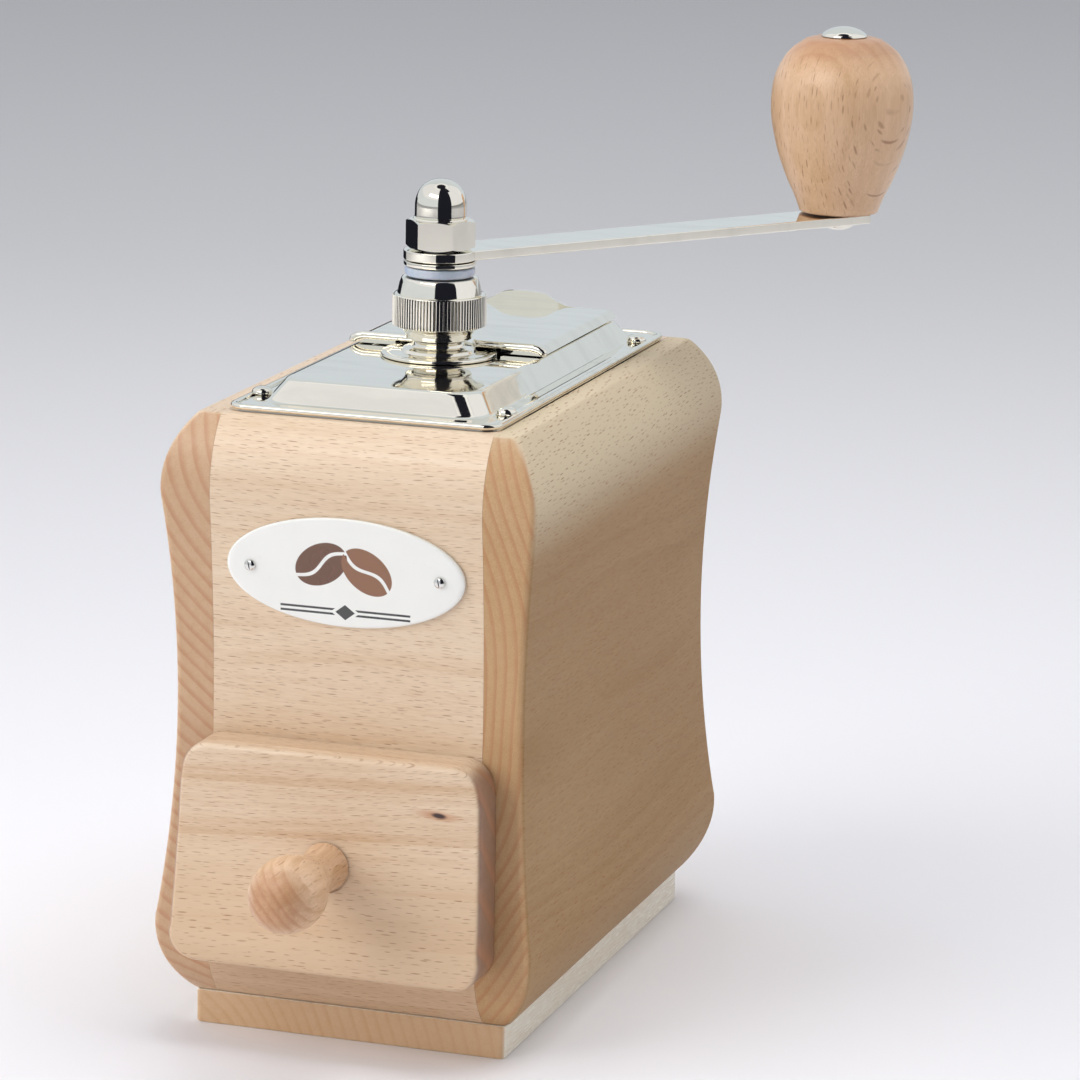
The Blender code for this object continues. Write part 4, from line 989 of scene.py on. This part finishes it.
def make_lid(bright):
    """The sliding cover: turned-down sides, a rolled bead in front and a waved thumb tab behind."""
    side = [(LID_HALF_LOW, LID_LOW), (LID_HALF_LOW - 0.05, LID_LOW + 0.12)]
    side += [(LID_HALF_TOP + 0.75, LID_TOP - 0.5), (LID_HALF_TOP + 0.4, LID_TOP - 0.2)]
    side += [(LID_HALF_TOP - 0.1, LID_TOP - 0.05), (LID_HALF_TOP - 0.7, LID_TOP)]
    under = [(LID_HALF_TOP - 0.8, LID_TOP - SHEET), (LID_HALF_TOP - 0.2, LID_TOP - SHEET - 0.15)]
    under += [(LID_HALF_LOW - 0.95, LID_LOW)]
    outline = side + [(-x, z) for x, z in reversed(side)] + [(-x, z) for x, z in reversed(under)] + under
    lid = as_object("sliding_lid", prism(outline, LID_NEAR + LID_BEAD_R, LID_FAR, "Y"))
    bead_y, bead_z = LID_NEAR + LID_BEAD_R, LID_TOP - SHEET + LID_BEAD_R
    route = [(-LID_HALF_LOW - 0.05, LID_LOW + 0.85), (-LID_HALF_TOP - 0.9, bead_z - 0.45)]
    route += [(-LID_HALF_TOP + 1.0, bead_z - 0.05), (-LID_HALF_TOP + 4.0, bead_z)]
    route = curve_through(route + [(-x, z) for x, z in reversed(route)], 4)
    bead = as_object("lid_bead", tube([(x, bead_y, z) for x, z in route], LID_BEAD_R, 24))
    crest = [(-TAB_HALF_X, 0.0), (-11.5, 0.25), (-8.6, 1.3), (-5.6, 2.9), (-2.4, 3.35)]
    crest = curve_through(crest + [(-x, z) for x, z in reversed(crest)], 5)
    tab = [(x, LID_TOP + z - 0.05) for x, z in [(-TAB_HALF_X, -0.7), *crest, (TAB_HALF_X, -0.7)]]
    back = LID_FAR + 0.1
    combine(lid, prism(tab, back - TAB_THICK, back, "Y"), "UNION")
    for side in (-1, 1):
        flap = [(LID_FLAP_X, LID_LOW), (LID_HALF_LOW - 0.9, LID_LOW), (LID_HALF_TOP, LID_TOP - 0.4)]
        flap = [(side * x, z) for x, z in [*flap, (LID_FLAP_X, LID_TOP - 0.4)]]
        combine(lid, prism(flap, LID_NEAR + LID_BEAD_R, LID_NEAR + LID_BEAD_R + SHEET, "Y"), "UNION")
    for obj in (lid, bead):
        combine(obj, rod(LID_NOTCH_R, 150, 165, 96, (0, AXIS_Y)), "DIFFERENCE")
        piece(obj, bright, "lid", ["lid"], sharp=40.0)


def tube(route, radius, sides):
    """A round bar along a route in the XZ plane, with domed ends."""
    ways = [Vector(b) - Vector(a) for a, b in zip(route, route[1:])]
    ways = [ways[0], *[a + b for a, b in zip(ways, ways[1:])], ways[-1]]
    stations = [(Vector(p), way.normalized(), radius) for p, way in zip(route, ways)]
    first, last = stations[0], stations[-1]
    for degrees in (30, 60, 85):
        lean = math.radians(degrees)
        reach, size = radius * math.sin(lean), radius * math.cos(lean)
        stations.insert(0, (first[0] - first[1] * reach, first[1], size))
        stations.append((last[0] + last[1] * reach, last[1], size))
    loops = []
    for point, way, size in stations:
        up = Vector((-way.z, 0, way.x))
        angles = [2 * math.pi * k / sides for k in range(sides)]
        loops.append([point + size * (math.cos(a) * up + math.sin(a) * Vector((0, 1, 0))) for a in angles])
    return loft(loops)


# --- drawer --------------------------------------------------------------------------------------


def drawer_outline(inset):
    """The drawer front's outline seen from the front, as (x, z), set in from its edge."""

    def half_at(z):
        share = (z - DRAWER_LOW) / (DRAWER_HIGH - DRAWER_LOW)
        return DRAWER_HALF_LOW + (DRAWER_HALF_HIGH - DRAWER_HALF_LOW) * share

    low, high, r = DRAWER_LOW + inset, DRAWER_HIGH - inset, DRAWER_CORNER - inset
    bottom, top = half_at(low) - inset - r, half_at(high) - inset - r
    right = arc(bottom, low + r, r, -90, 0, 10)
    rows = 24
    levels = [low + r + (high - low - 2 * r) * i / rows for i in range(1, rows)]
    right += [(half_at(z) - inset, z) for z in levels]
    right += arc(top, high - r, r, 0, 90, 10)
    return right + [(-x, z) for x, z in reversed(right)]


def make_drawer():
    """The drawer front with rounded arrises, and its tray of thin boards."""
    face, edge = DRAWER_OFF + DRAWER_FRONT_THICK, DRAWER_EDGE
    steps = [(0.35, DRAWER_OFF), (0.0, DRAWER_OFF + 0.35), (0.0, face - edge)]
    for degrees in (18, 36, 54, 72, 90):
        a = math.radians(degrees)
        steps.append((edge * (1 - math.cos(a)), face - edge + edge * math.sin(a)))
    loops = []
    for inset, out in steps:
        loops.append([(x, -(TOP_HALF_Y + swell(z) + out), z) for x, z in drawer_outline(inset)])
    front = as_object("drawer_face", strip_caps(loops))
    seat = rod(KNOB_SEAT_R, -KNOB_SEAT_DEPTH, 5, 64)
    turn_bm(seat, "X", 90)
    bmesh.ops.translate(seat, vec=(0, KNOB_BASE_Y, KNOB_Z), verts=seat.verts)
    combine(front, seat, "DIFFERENCE")
    # The drawer front's dark end tone is painted shade on its end faces, set for the shaded right end; the
    # band only makes the wood darker towards the bottom.
    finish = beech("beech_drawer", ALONG_X, (11.0, 40.0, 150.0), 205.0, ring=8.0, figure=1.25,
                   pale=(0.79, 0.615, 0.445), deep=(0.66, 0.45, 0.28), tilt=math.radians(-3.4),
                   end_grain_tone_and_shade=(0.38, 0.28, 0.25), fleck_ink=0.74,
                   band=(62.0, 34.0, (0.68, 0.47, 0.29)), knot=(KNOT_X, KNOT_Z))
    piece(front, finish, "drawer", ["drawer_front"], sharp=50.0)

    grain = {"drawer_side_left": ALONG_Y_LEFT, "drawer_side_right": ALONG_Y_RIGHT}
    for node in ("drawer_side_left", "drawer_side_right", "drawer_back", "drawer_floor"):
        finish = beech(f"beech_{node}", grain.get(node, ALONG_X), (7.0, 90.0, 60.0), 110.0)
        piece(copy_of(node, f"{node}_board"), finish, "drawer", [node], ease=0.5)
    make_drawer_knob()


def make_drawer_knob():
    """The turned pull, which sticks straight out of the drawer front."""
    turned = [(5.9, 0.0), (5.3, 4.0), (5.5, 9.0), (6.9, 15.0), (8.6, 21.0), (8.8, 25.0)]
    outline = curve_through([*turned, (7.9, 29.2), (5.2, 32.4), (2.2, 33.6)], 6)
    outline = [(0, 0), (5.5, 0), (5.8, 0.15), *outline[1:], (1.2, 33.75), (0, 33.8)]
    knob = lathe(outline, 96)
    turn_bm(knob, "X", 90)
    bmesh.ops.translate(knob, vec=(0, KNOB_BASE_Y + KNOB_PLAY, KNOB_Z), verts=knob.verts)
    finish = beech("beech_drawer_knob", ALONG_Y_RIGHT, (0.0, 70.0, 8.0), 85.0, ring=2.2, figure=1.5,
                   pale=(0.76, 0.52, 0.34), deep=(0.60, 0.35, 0.18), gloss=0.40)
    piece(as_object("pull_knob", knob), finish, "drawer", ["drawer_knob"], sharp=40.0)


def strip_caps(loops):
    """Skins loops that share one outline, and closes both ends with strips from side to side."""
    bm = bmesh.new()
    rows = [[bm.verts.new(point) for point in loop] for loop in loops]
    skin(bm, zip(rows, rows[1:]))
    count = len(rows[0])
    for row in (rows[0], rows[-1]):
        for i in range(count // 2 - 1):
            bm.faces.new((row[i], row[i + 1], row[count - 2 - i], row[count - 1 - i]))
    return bm


# --- pieces inside -------------------------------------------------------------------------------


def copy_of(node, name):
    """A fresh object with a node's shape, its flat faces merged again."""
    bm = bmesh.new()
    bm.from_mesh(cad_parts[node].data)
    bmesh.ops.scale(bm, vec=(1 / MM,) * 3, verts=bm.verts)
    bmesh.ops.remove_doubles(bm, verts=bm.verts, dist=1e-3)
    bmesh.ops.dissolve_limit(bm, angle_limit=math.radians(1.0), verts=bm.verts, edges=bm.edges)
    return as_object(name, bm)


def make_inside(coils):
    """What the design has inside, with eased edges and its own finishes, and the wound spring."""
    plain = steel("bright_steel")
    sheet = steel("sheet_steel", tint=(0.62, 0.62, 0.62), rough=0.28)
    iron = cast_iron("burr_iron")
    wood = beech("beech_inside", ALONG_X, (5.0, 90.0, 60.0), 110.0)
    wood_along = beech("beech_runners", ALONG_Y_RIGHT, (5.0, 90.0, 60.0), 110.0)
    screws = "burr_screw_1 burr_screw_2 burr_screw_3 burr_screw_4 bridge_screw_left bridge_screw_right"
    screws += " lower_bridge_screw_left lower_bridge_screw_right"
    plan = {
        ("box", "beech", "board", 0.4): [(wood, "partition_board top_cleat_front top_cleat_rear"),
                                         (wood_along, "drawer_runner_left drawer_runner_right")],
        ("box", "plain_steel", "metal", 0.15): [
            (plain, f"neck_ring_nut upper_bridge lower_bridge {screws}")],
        ("box", "plain_steel", "sheet", 0.0): [(sheet, "hopper_funnel")],
        ("box", "cast_iron", "cast", 0.0): [(iron, "ring_burr")],
        ("crank", "cast_iron", "cast", 0.0): [(iron, "cone_burr")],
        ("crank", "plain_steel", "metal", 0.15): [(plain, "burr_nut spring_washer shaft")],
        ("drawer", "plain_steel", "metal", 0.1): [(plain, "drawer_knob_screw")],
    }
    for (body, slot, word, ease), groups in plan.items():
        for finish, names in groups:
            for node in names.split():
                shape = copy_of(node, f"{node}_{word}")
                piece(shape, finish, body, [node], ease=ease, ease_from=40.0)
    low, high = heights("burr_spring")
    wire = SPRING_WIRE
    values = {"Turns": SPRING_TURNS, "Radius": SPRING_R * MM, "Wire Radius": wire * MM}
    values |= {"Height": (high - SPRING_GAP - low - 2 * wire) * MM}
    values |= {"Centre": (0.0, AXIS_Y * MM, (low + wire) * MM), "Material": plain}
    spring = coils.make("spring_coil", values)
    piece(spring, plain, "crank", ["burr_spring"], sharp=60.0)


# --- studio --------------------------------------------------------------------------------------


def make_camera():
    """A long lens that looks at the mill from the front right, rolled by about a degree."""
    flat = math.cos(VIEW_ELEVATION)
    back = Vector((math.sin(VIEW_AZIMUTH) * flat, -math.cos(VIEW_AZIMUTH) * flat, math.sin(VIEW_ELEVATION)))
    right = Vector((0, 0, 1)).cross(back).normalized()
    up = back.cross(right)
    c, s = math.cos(VIEW_ROLL), math.sin(VIEW_ROLL)
    matrix = Matrix((right * c + up * s, up * c - right * s, back)).transposed().to_4x4()
    matrix.translation = (Vector(VIEW_TARGET) + back * VIEW_DISTANCE) * MM
    data = bpy.data.cameras.new("studio_camera")
    data.sensor_width = SENSOR
    data.lens = VIEW_LENS
    data.clip_start = 0.01
    camera = bpy.data.objects.new("studio_camera", data)
    camera.matrix_world = matrix
    bpy.context.scene.collection.objects.link(camera)
    bpy.context.scene.camera = camera


def toward(azimuth, elevation):
    """A unit vector from the mill: azimuth 0 is its front, and 90 its right side."""
    a, e = math.radians(azimuth), math.radians(elevation)
    return Vector((math.sin(a) * math.cos(e), -math.cos(a) * math.cos(e), math.sin(e)))


def lamp(name, azimuth, elevation, distance, size, power, colour):
    """A square soft lamp that faces the mill. The cards give the reflections, so it makes none itself."""
    data = bpy.data.lights.new(name, "AREA")
    data.shape = "SQUARE"
    data.size = size
    data.energy = power
    data.color = colour
    made = bpy.data.objects.new(name, data)
    way = toward(azimuth, elevation)
    made.location = way * distance + Vector((0, 0, LAMP_AIM))
    made.rotation_euler = way.to_track_quat("Z", "Y").to_euler()
    made.visible_camera = False
    made.visible_glossy = False
    bpy.context.scene.collection.objects.link(made)


def card(name, azimuths, elevations, radius, colour):
    """A curved studio card round the mill, which only shows in reflections."""
    bm = bmesh.new()
    count = 16
    (left, right), (low, high) = azimuths, elevations
    rows = []
    for j in range(count + 1):
        ways = [toward(left + (right - left) * i / count, low + (high - low) * j / count)
                for i in range(count + 1)]
        rows.append([bm.verts.new(way * radius + Vector((0, 0, CARD_MIDDLE))) for way in ways])
    for low, high in zip(rows, rows[1:]):
        for i in range(count):
            bm.faces.new((low[i], low[i + 1], high[i + 1], high[i]))
    mesh = bpy.data.meshes.new(name)
    bm.to_mesh(mesh)
    bm.free()
    glow = bpy.data.materials.new(name)
    glow.use_nodes = True
    g = Graph(glow.node_tree)
    light = g.node("ShaderNodeEmission", {}, {"Color": rgb(*colour), "Strength": 1.0})
    g.node("ShaderNodeOutputMaterial", {}, {"Surface": light})
    mesh.materials.append(glow)
    made = bpy.data.objects.new(name, mesh)
    made.visible_camera = False
    made.visible_diffuse = False
    made.visible_shadow = False
    made.visible_transmission = False
    bpy.context.scene.collection.objects.link(made)


def make_studio():
    """A pale floor, a soft room, three lamps, and the cards and flags that the metal shows."""
    bpy.context.scene.view_settings.view_transform = "Standard"
    world = bpy.data.worlds.new("studio")
    world.use_nodes = True
    g = Graph(world.node_tree)
    way = g.node("ShaderNodeTexCoord", {}, {}, "Generated")
    open_side = g.vector("DOT_PRODUCT", way, (-0.66, 0.30, 0.69), output="Value").step(-0.35, 0.85)
    glow = g.mix(rgb(0.26, 0.26, 0.255), rgb(0.58, 0.60, 0.64), open_side)
    sky = g.node("ShaderNodeBackground", {}, {"Color": glow, "Strength": 1.0})
    g.node("ShaderNodeOutputWorld", {}, {"Surface": sky})
    bpy.context.scene.world = world

    floor = bpy.data.meshes.new("floor")
    bm = bmesh.new()
    bmesh.ops.create_circle(bm, cap_ends=True, segments=96, radius=STUDIO_RADIUS)
    bm.to_mesh(floor)
    bm.free()
    floor.materials.append(pale_floor("studio_floor"))
    made = bpy.data.objects.new("floor", floor)
    bpy.context.scene.collection.objects.link(made)

    lamp("key_lamp", -44, 26, 1.5, 1.1, 11.6, (1.0, 0.985, 0.96))
    lamp("fill_lamp", 98, 10, 1.8, 1.4, 2.6, (1.0, 0.99, 0.97))
    lamp("top_lamp", 105, 76, 1.6, 1.2, 13.5, (1.0, 0.99, 0.97))
    white = (0.84, 0.855, 0.89)
    blue = (0.645, 0.71, 0.77)
    dark = (0.012, 0.013, 0.02)
    card("left_card", (-124, 20), (24, 66), 2.4, white)
    card("left_low_card", (-124, 20), (0.5, 24), 2.4, (0.70, 0.75, 0.80))
    card("right_card", (62, 150), (4, 66), 2.4, white)
    card("back_card", (150, 236), (0.5, 66), 2.4, blue)
    card("corner_flag", (8, 84), (54, 84), 1.0, dark)
    card("top_card", (-180, 180), (66, 75), 2.4, (0.92, 0.93, 0.96))
    card("top_flag", (-180, 180), (75, 90), 2.4, dark)
    card("window", (-48, 4), (33, 43), 2.3, (4.4, 4.4, 4.3))
    card("front_flag", (6, 66), (-17, 66), 0.5, dark)
    card("rear_flag", (-165, -112), (-17, 8), 0.5, dark)


def main():
    make_camera()
    make_studio()
    rows, ribs, coils = row_recipe(), rib_recipe(), coil_recipe()
    bright = chrome("bright_chrome")
    make_boards()
    make_label(rows)
    make_top(rows, bright)
    make_neck(bright)
    make_adjuster(ribs, bright, nylon("milky_nylon"))
    make_crank(bright)
    make_handle(bright)
    make_lid(bright)
    make_drawer()
    make_inside(coils)


main()
